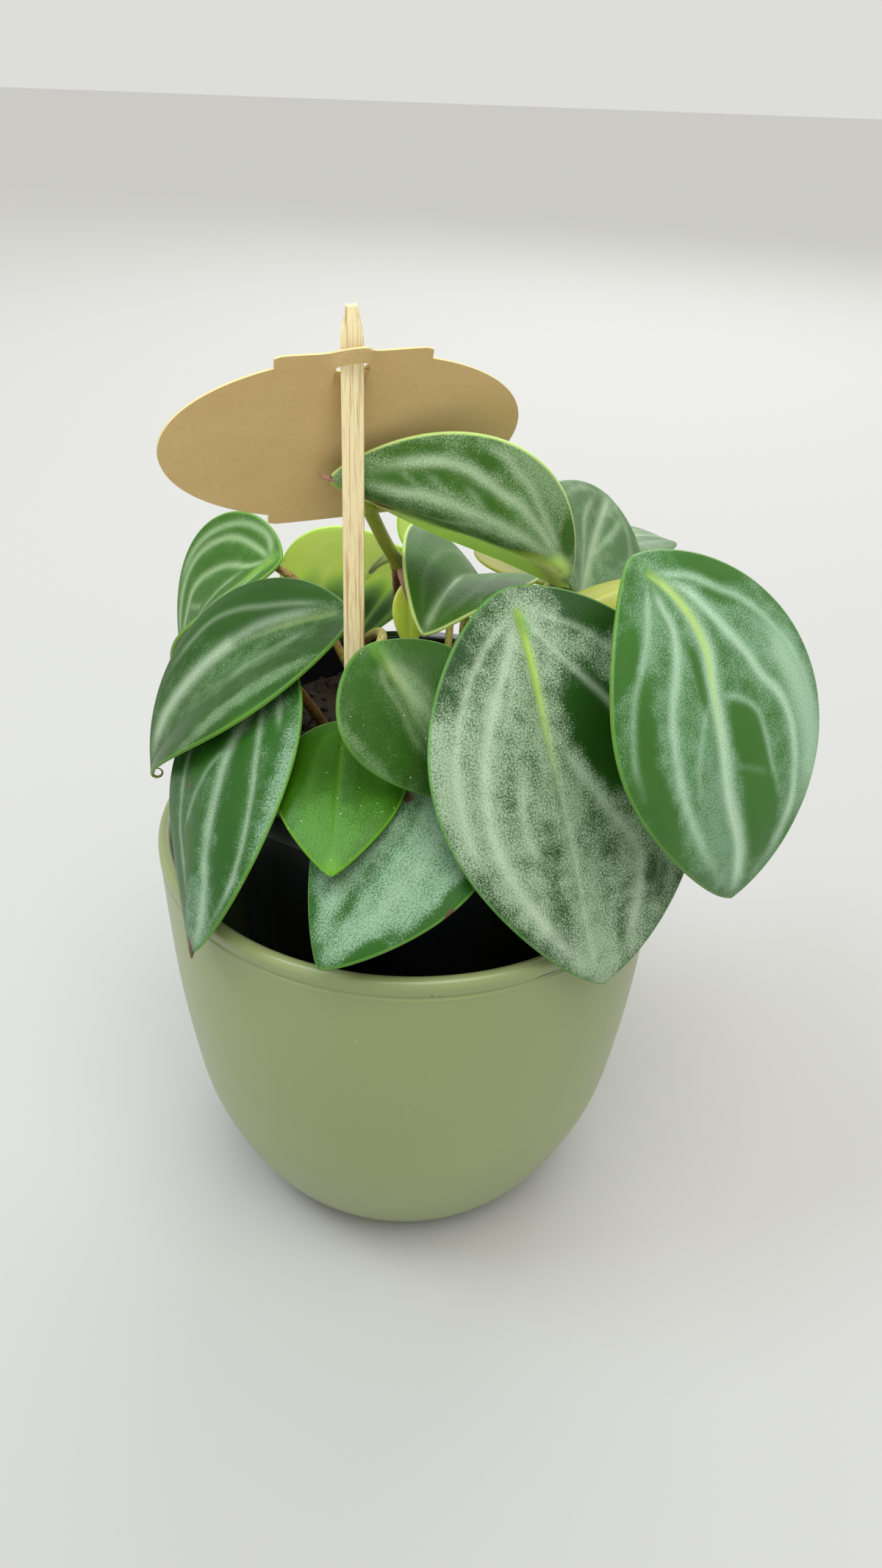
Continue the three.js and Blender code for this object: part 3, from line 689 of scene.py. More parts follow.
class Finish(Enum):
    """The finishes of this plant and its pots."""

    LEAF_FROSTED = LeafSkin(
        "leaf_skin_frosted", dark="17390a", fresh="1f4a10", silver="9bb393", vein="b8cbb0", rib="9fbf4a",
        margin="58913a", cover=0.95,
    )
    LEAF_SHEEN = LeafSkin(
        "leaf_skin_blue_sheen", dark="2a5a10", fresh="346a1a", silver="759b79", vein="b2d2b4", rib="a5c46c",
        margin="5b8f30", cover=0.95, roughness=0.33, gloss=0.45,
    )
    LEAF_STRIPED = LeafSkin(
        "leaf_skin_striped", dark="2f5610", fresh="42721f", silver="8fae80", vein="b2cba4", rib="9dbd4a",
        margin="d0ea88", scar="77523f",
    )
    LEAF_DARK = LeafSkin(
        "leaf_skin_dark", dark="1e400a", fresh="2c5618", silver="74926a", vein="a6ba9c", rib="869f5c",
        margin="5c8e34", cover=0.72, roughness=0.32, gloss=0.16,
    )
    LEAF_DUSTY = LeafSkin(
        "leaf_skin_dark_dusty", dark="294f12", fresh="36621c", silver="6c8c5c", vein="8aa276", rib="929f48",
        margin="558830", cover=0.8, specks=0.85,
    )
    LEAF_SILVER_LINES = LeafSkin(
        "leaf_skin_silver_lines", dark="1f4c12", fresh="2e5e1c", silver="80a182", vein="a6bea0", rib="8ca678",
        margin="5f9438", cover=0.95, roughness=0.33, gloss=0.22,
    )
    LEAF_GLOSSY = LeafSkin(
        "leaf_skin_glossy", dark="244f02", fresh="336606", silver="5c9638", vein="5f9432", rib="5c8c24",
        margin="6aa42c", cover=0.5, roughness=0.3, gloss=0.22, specks=0.5,
    )
    LEAF_ARCED = LeafSkin(
        "leaf_skin_arced", dark="2c5a0c", fresh="3a6a18", silver="71935a", vein="9fba8a", rib="92b04c",
        margin="70a040",
    )
    LEAF_GREY = LeafSkin(
        "leaf_skin_grey_green", dark="3c5c34", fresh="4c6e40", silver="7f9a76", vein="a2b694", rib="86a06c",
        margin="6a8c4a", cover=0.9,
    )
    LEAF_YOUNG = LeafSkin(
        "leaf_skin_young", dark="878e12", fresh="969c20", silver="98a23c", vein="a8b04a", rib="b2b854",
        margin="93a030", cover=0.3, roughness=0.4,
    )
    LEAF_OLIVE = LeafSkin(
        "leaf_skin_olive", dark="6a6c12", fresh="86861c", silver="8f8f30", vein="a09f3a", rib="a5a336",
        margin="8a9030", cover=0.3,
    )
    BACK_GREEN = LeafBack("leaf_back_green", tissue="7c9c46", shade="5c7f32", vein="a9c26c")
    BACK_LIME = LeafBack(
        "leaf_back_lime", tissue="e3f1ba", shade="d2e59e", vein="eaf4c8", margin="9fc45c", through=1.0,
    )
    BACK_YOUNG = LeafBack(
        "leaf_back_young", tissue="defc62", shade="ccf048", vein="effca4", margin="d2ee78", through=1.0,
    )
    # its olive is partly the leaf's own olive-yellow and partly painted shade, taken darker because the leaf
    # lies in shadow
    BACK_OLIVE = LeafBack(
        "leaf_back_olive", tissue="a3a22c", shade="84821e", vein="b4b340", margin="9aa638", through=0.7,
    )
    STALK = StemSkin("leaf_stalk_skin", ground="a5a14a", warm="ab8150", fleck="6b4226", flecks=0.45)
    STEM = StemSkin("stem_skin", ground="a3713f", warm="7c4a33", fleck="4a2a1c", flecks=0.6)
    STEM_OLIVE = StemSkin(
        "stem_skin_olive", ground="98a43c", warm="a3a04c", fleck="5e4a24", flecks=0.15, roughness=0.36,
    )
    WITHERED = StemSkin("leaf_tip_withered", ground="6a5a38", warm="5a4030", flecks=0.3, roughness=0.6)
    BRACT = StemSkin("bract_pinkish", ground="b58d76", warm="9a6258", flecks=0.1, roughness=0.5)
    SAGE = MouldedPlastic(
        "sage_polypropylene", colour="8f9a67", deep="879260", roughness=0.3, specks=0.3,
        scuffs=((-60.8, 121.9, 3.6, 0.35), (-85.1, 121.9, 0.3, 0.35), (-83.6, 121.7, 0.25, 0.3)),
    )
    BLACK = MouldedPlastic(
        "black_blown_polypropylene", colour="16191d", deep="0c0e11", roughness=0.3, texture=0.15, streaks=0.9,
    )
    PEAT = PeatMix()
    BAMBOO = SplitBamboo()
    KRAFT = KraftBoard("kraft_board_face")
    KRAFT_EDGE = KraftBoard(
        "kraft_board_cut_edge", brown="e0d29c", shade="cdbb80", fibre="b39a5f", flecks=0.25,
    )

    def material(self) -> bpy.types.Material:
        """Returns the finish's material, made the first time that it is asked for."""
        made = bpy.data.materials.get(self.value.name)
        return made or self.value.build()


# ---- leaves ----


@dataclass(frozen=True)
class Vein:
    """A vein, through points given as shares of the blade's length and of half its width."""

    points: tuple[tuple[float, float], ...]
    width: float = 1.0
    strength: float = 0.8


def arc(reach: float, strength: float = 0.7, width: float = 1.0) -> Vein:
    """Draws a vein that bows out to a share of the half width and comes back at the tip."""
    shape = ((0.01, 0.1), (0.14, 0.7), (0.4, 1.0), (0.7, 0.8), (0.95, 0.12))
    return Vein(tuple((along, reach * across) for along, across in shape), width, strength)


@dataclass(frozen=True)
class Patch:
    """A soft oval of the blade, placed by shares of the length and half width.

    Its length and width are half sizes in mm, and turn is its angle to the midrib.
    """

    along: float
    across: float
    length: float
    width: float
    change: float
    turn: float = 0.0


@dataclass(frozen=True)
class Coat:
    """How a leaf's frost and veins lie.

    The midrib follows rib_path, in the same shares as a vein. It is lime near the
    stalk, as far as rib_reach of the length, and silver beyond it. lime_side is the
    half, -1 or 1, that shows as lime. A patch changes the frost, a lime turns the
    skin to the margin's colour, and a scar turns it brown. Some patches paint
    highlights and sheen into the frost, and on an underside a frost below zero
    paints shade.
    """

    frost: float = 0.3
    glow: float = 0.3
    rim_frost: float = 0.1
    rib: float = 0.6
    rib_reach: float = 0.35
    rib_width: float = 1.0
    rib_path: tuple[tuple[float, float], ...] = ((0.0, 0.0), (0.5, 0.0), (1.0, 0.0))
    silver_rib: float = 1.5
    silver_strength: float = 0.7
    lime_side: float = 0.0
    veins: tuple[Vein, ...] = (arc(0.42), arc(-0.42), arc(0.75, 0.6), arc(-0.75, 0.6))
    patches: tuple[Patch, ...] = ()
    limes: tuple[Patch, ...] = ()
    scars: tuple[Patch, ...] = ()


@dataclass(frozen=True)
class Hook:
    """The drawn-out tip of a leaf, which dries and curls as it ages."""

    length: float
    down: float
    aside: float
    radius: float
    finish: Finish


@dataclass(frozen=True)
class Leaf:
    """One leaf: where it grows, how it bends, and its coat.

    at is where the stalk meets the blade. azimuth and rise give the way that the
    blade sets off, droop how far it bends down by the tip, sway how far sideways,
    roll and twist its turn about the midrib, curl how far each half bends down,
    and fold how far each half is lifted. Angles are degrees.
    facing is -1 where the blade has turned over, with its upper skin on the other side.
    """

    node: str
    at: Point
    length: float
    width: float
    azimuth: float
    rise: float
    droop: float
    sway: float
    roll: float
    twist: float
    curl: float
    fold: float
    stalk: tuple[Point, ...]
    top: Finish
    back: Finish = Finish.BACK_GREEN
    coat: Coat = Coat()
    widest: float = 0.81
    slot: str = "leaf"
    wave: float = 0.35
    puff: float = 0.3
    facing: int = 1
    hook: Hook | None = None


class Blade:
    """Works out the surface of one leaf and builds its closed mesh."""

    LOBE = 0.07  # share of the length that lies behind the stalk
    MARGIN_POWER = 0.77  # how full the outline is
    THICKNESS = 1.2
    EDGE_RADIUS = 0.9
    CREASE = 1.6  # how wide the fold along the midrib is
    CELL = 0.85  # about how far apart the vertices are
    RIM_STEPS = np.array([1.5, 0.95, 0.5, 0.18, 0.0])  # columns of vertices by the margin
    SKIN_GAP = 0.15  # how far the stalk's side lies below the blade's middle
    # how far the stalk runs on under the blade, and its girth there, as shares
    RUN_ON = ((0.0, 1.0), (0.04, 0.86), (0.09, 0.66), (0.16, 0.46), (0.25, 0.3))

    def __init__(self, leaf: Leaf) -> None:
        """Prepares the midrib and the cross section.

        Args:
            leaf: The leaf to build.
        """
        self.leaf = leaf
        self.seed = sum(ord(c) for c in leaf.node) % 97
        self.stations = np.linspace(-0.25 * leaf.length, leaf.length, 241)
        middles = (self.stations[1:] + self.stations[:-1]) / 2
        steps = self.heading(middles) * (self.stations[1] - self.stations[0])
        chain = np.vstack([np.zeros(3), np.cumsum(steps, axis=0)])
        origin = np.array([np.interp(0.0, self.stations, chain[:, k]) for k in range(3)])
        self.chain = chain - origin + np.array(leaf.at)
        self.reach = np.linspace(0, leaf.width * 0.6, 400)
        angle = math.radians(leaf.fold) * (1 - np.exp(-self.reach / self.CREASE))
        angle -= math.radians(leaf.curl) / (leaf.width / 2) * self.reach
        step = self.reach[1] - self.reach[0]
        self.out, self.lift = (
            np.concatenate([[0], np.cumsum((slope[1:] + slope[:-1]) / 2 * step)])
            for slope in (np.cos(angle), np.sin(angle))
        )

    def heading(self, s: np.ndarray) -> np.ndarray:
        """Finds which way the midrib runs.

        Args:
            s: Distances from the stalk.

        Returns:
            The direction at each, of length 1.
        """
        leaf = self.leaf
        rise = np.radians(leaf.rise - leaf.droop * s / leaf.length)
        azimuth = np.radians(leaf.azimuth + leaf.sway * s / leaf.length)
        return np.stack([np.cos(rise) * np.cos(azimuth), np.cos(rise) * np.sin(azimuth), np.sin(rise)],
                        axis=-1)

    def midrib(self, s: np.ndarray) -> np.ndarray:
        """Returns points of the midrib at distances s from the stalk."""
        return np.stack([np.interp(s, self.stations, self.chain[:, k]) for k in range(3)], axis=-1)

    def margin(self, t: np.ndarray) -> tuple[np.ndarray, np.ndarray]:
        """Gives the flat blade's outline.

        Args:
            t: Steps from 0 at the base to 1 at the tip.

        Returns:
            The distance along the midrib, and the half width.
        """
        leaf = self.leaf
        q = (1 - np.cos(np.pi * t)) / 2
        lobe = self.LOBE * leaf.length
        half = leaf.width / 2 * np.clip(np.sin(np.pi * q**leaf.widest), 0, 1) ** self.MARGIN_POWER
        return -lobe + (leaf.length + lobe) * q, half

    def flat(self, t: np.ndarray, v: np.ndarray) -> tuple[np.ndarray, np.ndarray]:
        """Places points on the flat blade.

        Args:
            t: Steps from 0 at the base to 1 at the tip.
            v: Shares of the half width.

        Returns:
            Distances along the midrib and across it.
        """
        x, half = self.margin(t)
        start = self.leaf.length * t**1.2
        return start + (x - start) * np.abs(v) ** 1.4, half * v

    def surface(self, x: np.ndarray, y: np.ndarray) -> np.ndarray:
        """Bends the flat blade into place.

        Args:
            x: Distances along the midrib.
            y: Distances across it.

        Returns:
            Points of the blade's middle surface.
        """
        leaf = self.leaf
        along = self.heading(x)
        azimuth = np.radians(leaf.azimuth + leaf.sway * x / leaf.length)
        side = np.stack([-np.sin(azimuth), np.cos(azimuth), np.zeros_like(azimuth)], axis=-1)
        up = np.cross(along, side)
        roll = np.radians(leaf.roll + leaf.twist * x / leaf.length)[..., None]
        across = side * np.cos(roll) + up * np.sin(roll)
        normal = up * np.cos(roll) - side * np.sin(roll)
        out = np.interp(np.abs(y), self.reach, self.out) * np.sign(y)
        lift = np.interp(np.abs(y), self.reach, self.lift)
        return self.midrib(x) + across * out[..., None] + normal * lift[..., None]

    def spot(self, along: float, across: float) -> tuple[float, float]:
        """Turns shares of the length and half width into mm on the flat blade."""
        return self.leaf.length * along, self.leaf.width / 2 * across

    def path(self, shares: tuple[tuple[float, float], ...], count: int) -> np.ndarray:
        """Runs a curve over the flat blade through points given in shares."""
        return spline([self.spot(*share) for share in shares], count)

    def vein_field(self, x: np.ndarray, y: np.ndarray) -> tuple[np.ndarray, np.ndarray]:
        """Finds how strongly the veins show at each point of the flat blade.

        Args:
            x: Distances along the midrib.
            y: Distances across it.

        Returns:
            The veins themselves and the wide glow beside them, each from 0 to 1.
        """
        lines, glow = np.zeros_like(x), np.zeros_like(x)
        for vein in self.leaf.coat.veins:
            path = self.path(vein.points, 90)
            w = np.linspace(0, 1, len(path))
            gap = np.hypot(x[..., None] - path[:, 0], y[..., None] - path[:, 1])
            near = gap.argmin(axis=-1)
            gap = gap.min(axis=-1)
            fade = vein.strength * (1 - 0.8 * ease(w[near], 0.8, 1.0))
            fade = fade * (0.35 + 0.65 * ease(w[near], 0.0, 0.12))
            lines = np.maximum(lines, fade * np.exp(-((gap / vein.width) ** 2)))
            glow = np.maximum(glow, fade * np.exp(-((gap / (3.6 * vein.width)) ** 2)))
        return lines, glow

    def ovals(self, x: np.ndarray, y: np.ndarray, patches: tuple[Patch, ...]) -> np.ndarray:
        """Adds up soft ovals over the flat blade.

        Args:
            x: Distances along the midrib.
            y: Distances across it.
            patches: The ovals.

        Returns:
            The sum of their changes at each point.
        """
        total = np.zeros_like(x)
        for patch in patches:
            cx, cy = self.spot(patch.along, patch.across)
            turn = math.radians(patch.turn)
            long = (x - cx) * math.cos(turn) + (y - cy) * math.sin(turn)
            wide = (y - cy) * math.cos(turn) - (x - cx) * math.sin(turn)
            total += patch.change * np.exp(-(((long / patch.length) ** 2 + (wide / patch.width) ** 2) ** 1.5))
        return total

    def grid(self) -> tuple[np.ndarray, np.ndarray, np.ndarray]:
        """Lays a grid over the flat blade, with its columns closer together by the margin.

        Returns:
            Distances along the midrib and across it, and shares of the half width.
        """
        rows = int(max(30, min(110, self.leaf.length / self.CELL)))
        inner = int(max(8, min(44, self.leaf.width / 2 / self.CELL)))
        t = np.linspace(0, 1, rows + 1)[:, None]
        half = self.margin(t)[1]
        steps = self.RIM_STEPS * np.minimum(1.0, half / 5.0)
        core = np.linspace(0, 1, inner + 1) * (half - steps[:, :1])
        reach = np.hstack([core, half - steps[:, 1:]])
        even = np.linspace(0, 1, reach.shape[1])
        share = np.where(half > 1e-6, reach / np.maximum(half, 1e-6), even)
        v = np.hstack([-share[:, :0:-1], share])
        x, y = self.flat(np.repeat(t, v.shape[1], axis=1), v)
        return x, y, v

    def edge_distance(self, x: np.ndarray, y: np.ndarray) -> np.ndarray:
        """Finds how far each point of the grid is from the margin.

        Args:
            x: Distances along the midrib.
            y: Distances across it.

        Returns:
            The distances, which are 0 along the grid's outer columns and at the tip.
        """
        mx, half = self.margin(np.linspace(0, 1, 500))
        edge = np.hypot(x[..., None] - mx, np.abs(y)[..., None] - half).min(axis=-1)
        edge[:, [0, -1]] = 0.0
        edge[-1] = 0.0
        return edge

    def markings(self, x: np.ndarray, y: np.ndarray, edge: np.ndarray) -> dict[str, np.ndarray]:
        """Finds the veins, the midrib, the frost and the spots at each point of the grid.

        Args:
            x: Distances along the midrib.
            y: Distances across it.
            edge: Distances from the margin.

        Returns:
            Those fields by name, with the midrib's groove under rib_line.
        """
        coat, share = self.leaf.coat, x / self.leaf.length
        lines, glow = self.vein_field(x, y)
        middle = self.path(coat.rib_path, 60)
        aside = y - np.interp(x, middle[:, 0], middle[:, 1])
        rib_fade = 1 - ease(share, coat.rib_reach, min(1.0, coat.rib_reach + 0.35))
        rib_width = coat.rib_width * (1.5 - 1.0 * np.clip(share, 0, 0.7))
        rib_line = np.exp(-((aside / rib_width) ** 2)) * ease(x, -2.0, 0.5)
        silver_rib = np.exp(-((aside / coat.silver_rib) ** 2)) * (1 - ease(share, 0.88, 1.0))
        silver_rib *= ease(share, coat.rib_reach - 0.3, coat.rib_reach + 0.1)
        glow = np.maximum(glow, 0.7 * np.exp(-((aside / 5.0) ** 2)))
        frost = coat.frost + coat.glow * glow + coat.rim_frost * (1 - ease(edge, 0.5, 5.0))
        pale = np.clip(self.ovals(x, y, coat.limes), 0, 1)
        if coat.lime_side:
            pale = np.maximum(pale, 0.85 * ease(aside * coat.lime_side, 0.1, 1.6))
        return {
            "lines": np.maximum(lines, coat.silver_strength * silver_rib),
            "glow": glow,
            "rib_line": rib_line,
            "rib": np.clip(rib_line * rib_fade * coat.rib, 0, 1),
            "frost": frost + self.ovals(x, y, coat.patches),
            "scar": np.clip(self.ovals(x, y, coat.scars), 0, 1),
            "pale": pale,
        }

    def sides(
        self, x: np.ndarray, y: np.ndarray, v: np.ndarray, edge: np.ndarray, field_of: dict[str, np.ndarray]
    ) -> np.ndarray:
        """Bends the grid into place, with its waves, its thickness and its pressed-in veins.

        Args:
            x: Distances along the midrib.
            y: Distances across it.
            v: Shares of the half width.
            edge: Distances from the margin.
            field_of: The markings.

        Returns:
            Points of the upper and the lower side.
        """
        leaf, seed = self.leaf, self.seed
        inside = ease(edge, 0.3, 5.0)
        ripple = np.sin(x / 7.1 + seed) * np.sin(y / 6.3 + 2 * seed) * inside
        wavy = leaf.wave * np.sin(x / 8.3 + np.sign(y) * 1.7 + seed) * (np.abs(v) ** 3)
        middle = self.surface(x, y)
        ahead = self.surface(x + 0.4, y) - self.surface(x - 0.4, y)
        beside = self.surface(x, y + 0.4) - self.surface(x, y - 0.4)
        normal = unit(np.cross(ahead, beside)) * leaf.facing
        middle = middle + normal * (wavy * ease(edge, -1.0, 8.0) + 0.25 * leaf.wave * ripple)[..., None]
        body = self.THICKNESS / 2 * np.sqrt(1 - (1 - np.clip(edge / self.EDGE_RADIUS, 0, 1)) ** 2)
        swell = leaf.puff * (1 - field_of["glow"]) * inside
        lines, rib_line, share = field_of["lines"], field_of["rib_line"], x / leaf.length
        dent = (0.22 * lines + 0.4 * rib_line * (1 - ease(share, 0.55, 1.0))) * inside
        ridge = (0.18 * lines + 0.55 * rib_line * (1 - ease(share, 0.5, 1.0))) * inside
        upper = middle + normal * (body + swell - dent)[..., None]
        lower = middle - normal * (body - 0.6 * swell + ridge)[..., None]
        return np.stack([upper, lower])

    def stitch(self, rows: int, wide: int) -> tuple[np.ndarray, list[tuple[int, ...]], list[int]]:
        """Joins the two sides along the margin, and the two halves of the base to each other.

        Args:
            rows: Rows of cells from base to tip.
            wide: Columns of vertices from margin to margin.

        Returns:
            Side, row and column of each vertex, then the faces and the slot of each.
        """
        centre = wide // 2
        ids = np.zeros((2, rows + 1, wide), int)
        keep: list[tuple[int, int, int]] = []
        for side in (0, 1):
            for i in range(rows):
                for j in range(0 if i else centre, wide):
                    if side and j in (0, wide - 1):
                        ids[side, i, j] = ids[0, i, j]
                    else:
                        ids[side, i, j] = len(keep)
                        keep.append((side, i, j))
            ids[side, 0, :centre] = ids[side, 0, :centre:-1]
            if side == 0:
                ids[:, rows] = len(keep)
                keep.append((0, rows, 0))
        faces: list[tuple[int, ...]] = []
        slots: list[int] = []
        for i in range(rows):
            for j in range(wide - 1):
                for side in (0, 1):
                    loop = [ids[side, i, j], ids[side, i + 1, j], ids[side, i + 1, j + 1],
                            ids[side, i, j + 1]]
                    loop = [int(k) for n, k in enumerate(loop) if k not in loop[:n]]
                    if len(loop) < 3:
                        continue
                    faces.append(tuple(loop if (side == 0) == (self.leaf.facing > 0) else loop[::-1]))
                    slots.append(side)
        return np.array(keep), faces, slots

    def shell(self) -> Shell:
        """Builds the blade.

        Returns:
            A closed shell, with its upper faces in slot 0 and its lower ones in slot 1.
        """
        x, y, v = self.grid()
        edge = self.edge_distance(x, y)
        field_of = self.markings(x, y, edge)
        points = self.sides(x, y, v, edge, field_of)
        pick, faces, slots = self.stitch(x.shape[0] - 1, x.shape[1])
        side, row, column = pick.T
        layers = {
            "marks": (field_of["frost"], field_of["lines"], field_of["rib"]),
            "rims": (edge, field_of["scar"], field_of["pale"]),
            "blade": (x + 131.0 * self.seed, y, np.zeros_like(x)),
        }
        marks = {key: np.stack(values, axis=-1)[row, column] for key, values in layers.items()}
        return Shell(points[side, row, column], faces, slots, marks)

    def frame_at(self, x: float) -> tuple[np.ndarray, np.ndarray]:
        """Finds where the midrib is, and which way the blade faces there.

        Args:
            x: The distance along the midrib.

        Returns:
            The point, and the normal of the upper side.
        """
        xs = np.array([x])
        ahead = self.heading(xs)[0]
        beside = (self.surface(xs, np.array([1.0])) - self.surface(xs, np.array([-1.0])))[0]
        normal = np.cross(ahead, beside) * self.leaf.facing
        return self.midrib(xs)[0], normal / np.linalg.norm(normal)

    def stalk(self) -> Shell:
        """Builds the stalk, which runs on under the blade as the base of the midrib.

        Returns:
            The stalk in slot 2, with the midrib in slot 1.
        """
        leaf, sides, foot = self.leaf, 14, 6
        radius = 1.6 if leaf.length > 60 else 1.25
        points = [np.array(p, float) for p in leaf.stalk]
        if points[0][2] == ROOT_DEPTH:
            points.insert(1, np.array([points[0][0], points[0][1], SOIL_TOP]))
        base, normal = self.frame_at(0.0)
        points.append(base - normal * (radius + self.SKIN_GAP))
        lead = spline(points, 44)
        under = [(*self.frame_at(leaf.length * share), girth) for share, girth in self.RUN_ON]
        tail = spline([p - n * (radius * girth + self.SKIN_GAP) for p, n, girth in under], 16)[1:]
        girths = np.array([girth for _, girth in self.RUN_ON]) * radius
        thin = np.interp(np.linspace(0, 1, len(tail) + 1)[1:], np.linspace(0, 1, len(girths)), girths)
        size = np.concatenate([np.full(len(lead), radius), thin])
        size[:foot] *= np.linspace(1.18, 1.0, foot)
        shell = tube(np.vstack([lead, tail]), size, sides)
        free = len(lead) * sides
        shell.slots = [2] * free + [1] * (len(shell.faces) - free)
        return shell

    def tip_hook(self, hook: Hook) -> Shell:
        """Builds the thin curled end beyond the tip.

        Args:
            hook: Its length, its turn downwards and sideways in degrees, and its girth.

        Returns:
            A tapered shell in slot 3.
        """
        steps, sunk = 18, 1.6
        length = self.leaf.length
        tip, normal = self.frame_at(length)
        ahead = Vector(self.heading(np.array([length]))[0])
        aside = Vector(normal).cross(ahead)
        here, path = Vector(tip) - ahead * sunk, []
        for k in range(steps):
            path.append(np.array(here))
            share = max(0.0, k / (steps - 1) - 0.1)
            turned_by = Matrix.Rotation(math.radians(hook.down) * share, 3, aside)
            swung = Matrix.Rotation(math.radians(hook.aside) * share, 3, Vector(normal))
            here = here + swung @ turned_by @ ahead * ((hook.length + sunk) / steps)
        shell = tube(np.array(path), np.linspace(hook.radius, 0.16, steps), 10)
        shell.slots = [3] * len(shell.faces)
        return shell

    def piece(self) -> bpy.types.Object:
        """Builds the leaf's object.

        Returns:
            The leaf, with blade, stalk and hook in one mesh.
        """
        leaf = self.leaf
        shell = self.shell()
        if leaf.stalk:
            shell = shell.joined(self.stalk())
        stalk_skin = Finish.STEM_OLIVE if leaf.slot == "leaf_pale" else Finish.STALK
        materials = [leaf.top.material(), leaf.back.material(), stalk_skin.material()]
        if leaf.hook is not None:
            shell = shell.joined(self.tip_hook(leaf.hook))
            materials.append(leaf.hook.finish.material())
        piece = shell.piece(f"{leaf.node}_grown", materials, sharp=70.0)
        return fit_out(piece, leaf.slot, leaf.node)


FROSTED = Coat(
    frost=0.57, glow=0.14, rim_frost=-0.25, rib=0.95, rib_reach=0.14, rib_width=0.8, silver_rib=0.8,
    silver_strength=0.4,
    rib_path=((0, 0), (0.12, -0.05), (0.28, -0.12), (0.45, -0.15), (0.6, -0.15), (0.78, -0.14),
              (0.93, -0.07), (1, 0)),
    veins=(
        Vein(((0, -0.03), (0.1, -0.22), (0.22, -0.48), (0.35, -0.64), (0.49, -0.69), (0.63, -0.6),
              (0.8, -0.38), (0.94, -0.12)), 1.5, 0.8),
        Vein(((0, -0.05), (0.05, -0.31), (0.16, -0.61), (0.3, -0.8), (0.46, -0.85), (0.58, -0.79)), 1.0, 0.6),
        Vein(((0.36, -0.37), (0.44, -0.44), (0.52, -0.46), (0.6, -0.4)), 1.2, 0.45),
        Vein(((0.28, -0.1), (0.44, 0.07), (0.55, 0.21), (0.63, 0.31), (0.73, 0.3), (0.83, 0.22),
              (0.93, 0.1)), 1.2, 0.55),
        Vein(((0, 0.02), (0.08, 0.09), (0.15, 0.18), (0.21, 0.27), (0.27, 0.36), (0.42, 0.5), (0.6, 0.52),
              (0.8, 0.38)), 1.0, 0.55),
        Vein(((0, 0.08), (0.04, 0.2), (0.08, 0.33), (0.16, 0.5), (0.3, 0.72), (0.5, 0.8), (0.7, 0.6)), 1.0,
             0.4),
        Vein(((0.02, -0.04), (0.08, -0.14), (0.16, -0.26), (0.26, -0.4)), 1.0, 0.4),
    ),
    patches=(
        Patch(0.32, 0.27, 14, 7.5, -1.1, 14), Patch(0.42, 0.3, 8, 5, -0.5, 20),
        Patch(0.04, 0.5, 9, 8, -0.9, 60),
        Patch(0.57, -0.32, 9, 3.2, -0.25), Patch(0.4, -0.51, 5, 2.5, -0.2),
        Patch(0.75, -0.34, 9, 3.6, -0.3, 8),
        Patch(0.58, 0.08, 7, 3.2, -0.28, 10), Patch(0.71, 0.42, 9, 3.4, -0.36, -8),
        Patch(0.83, 0.15, 9, 2.0, -0.4, -6),
        # the second patch here brightens the frost along the left margin: partly the leaf's frost, partly a
        # painted bluish sheen
        Patch(0.07, -0.5, 13, 8, -0.34, -58), Patch(0.3, -0.9, 24, 3.6, 0.45),
        Patch(0.8, -0.66, 12, 3, -0.2, 15),
        Patch(0.93, 0.0, 12, 12, 0.2), Patch(0.75, 0.85, 16, 6, 0.35, -10),
    ),
    limes=(Patch(0.03, 0.0, 3.5, 1.6, 0.5),),
)
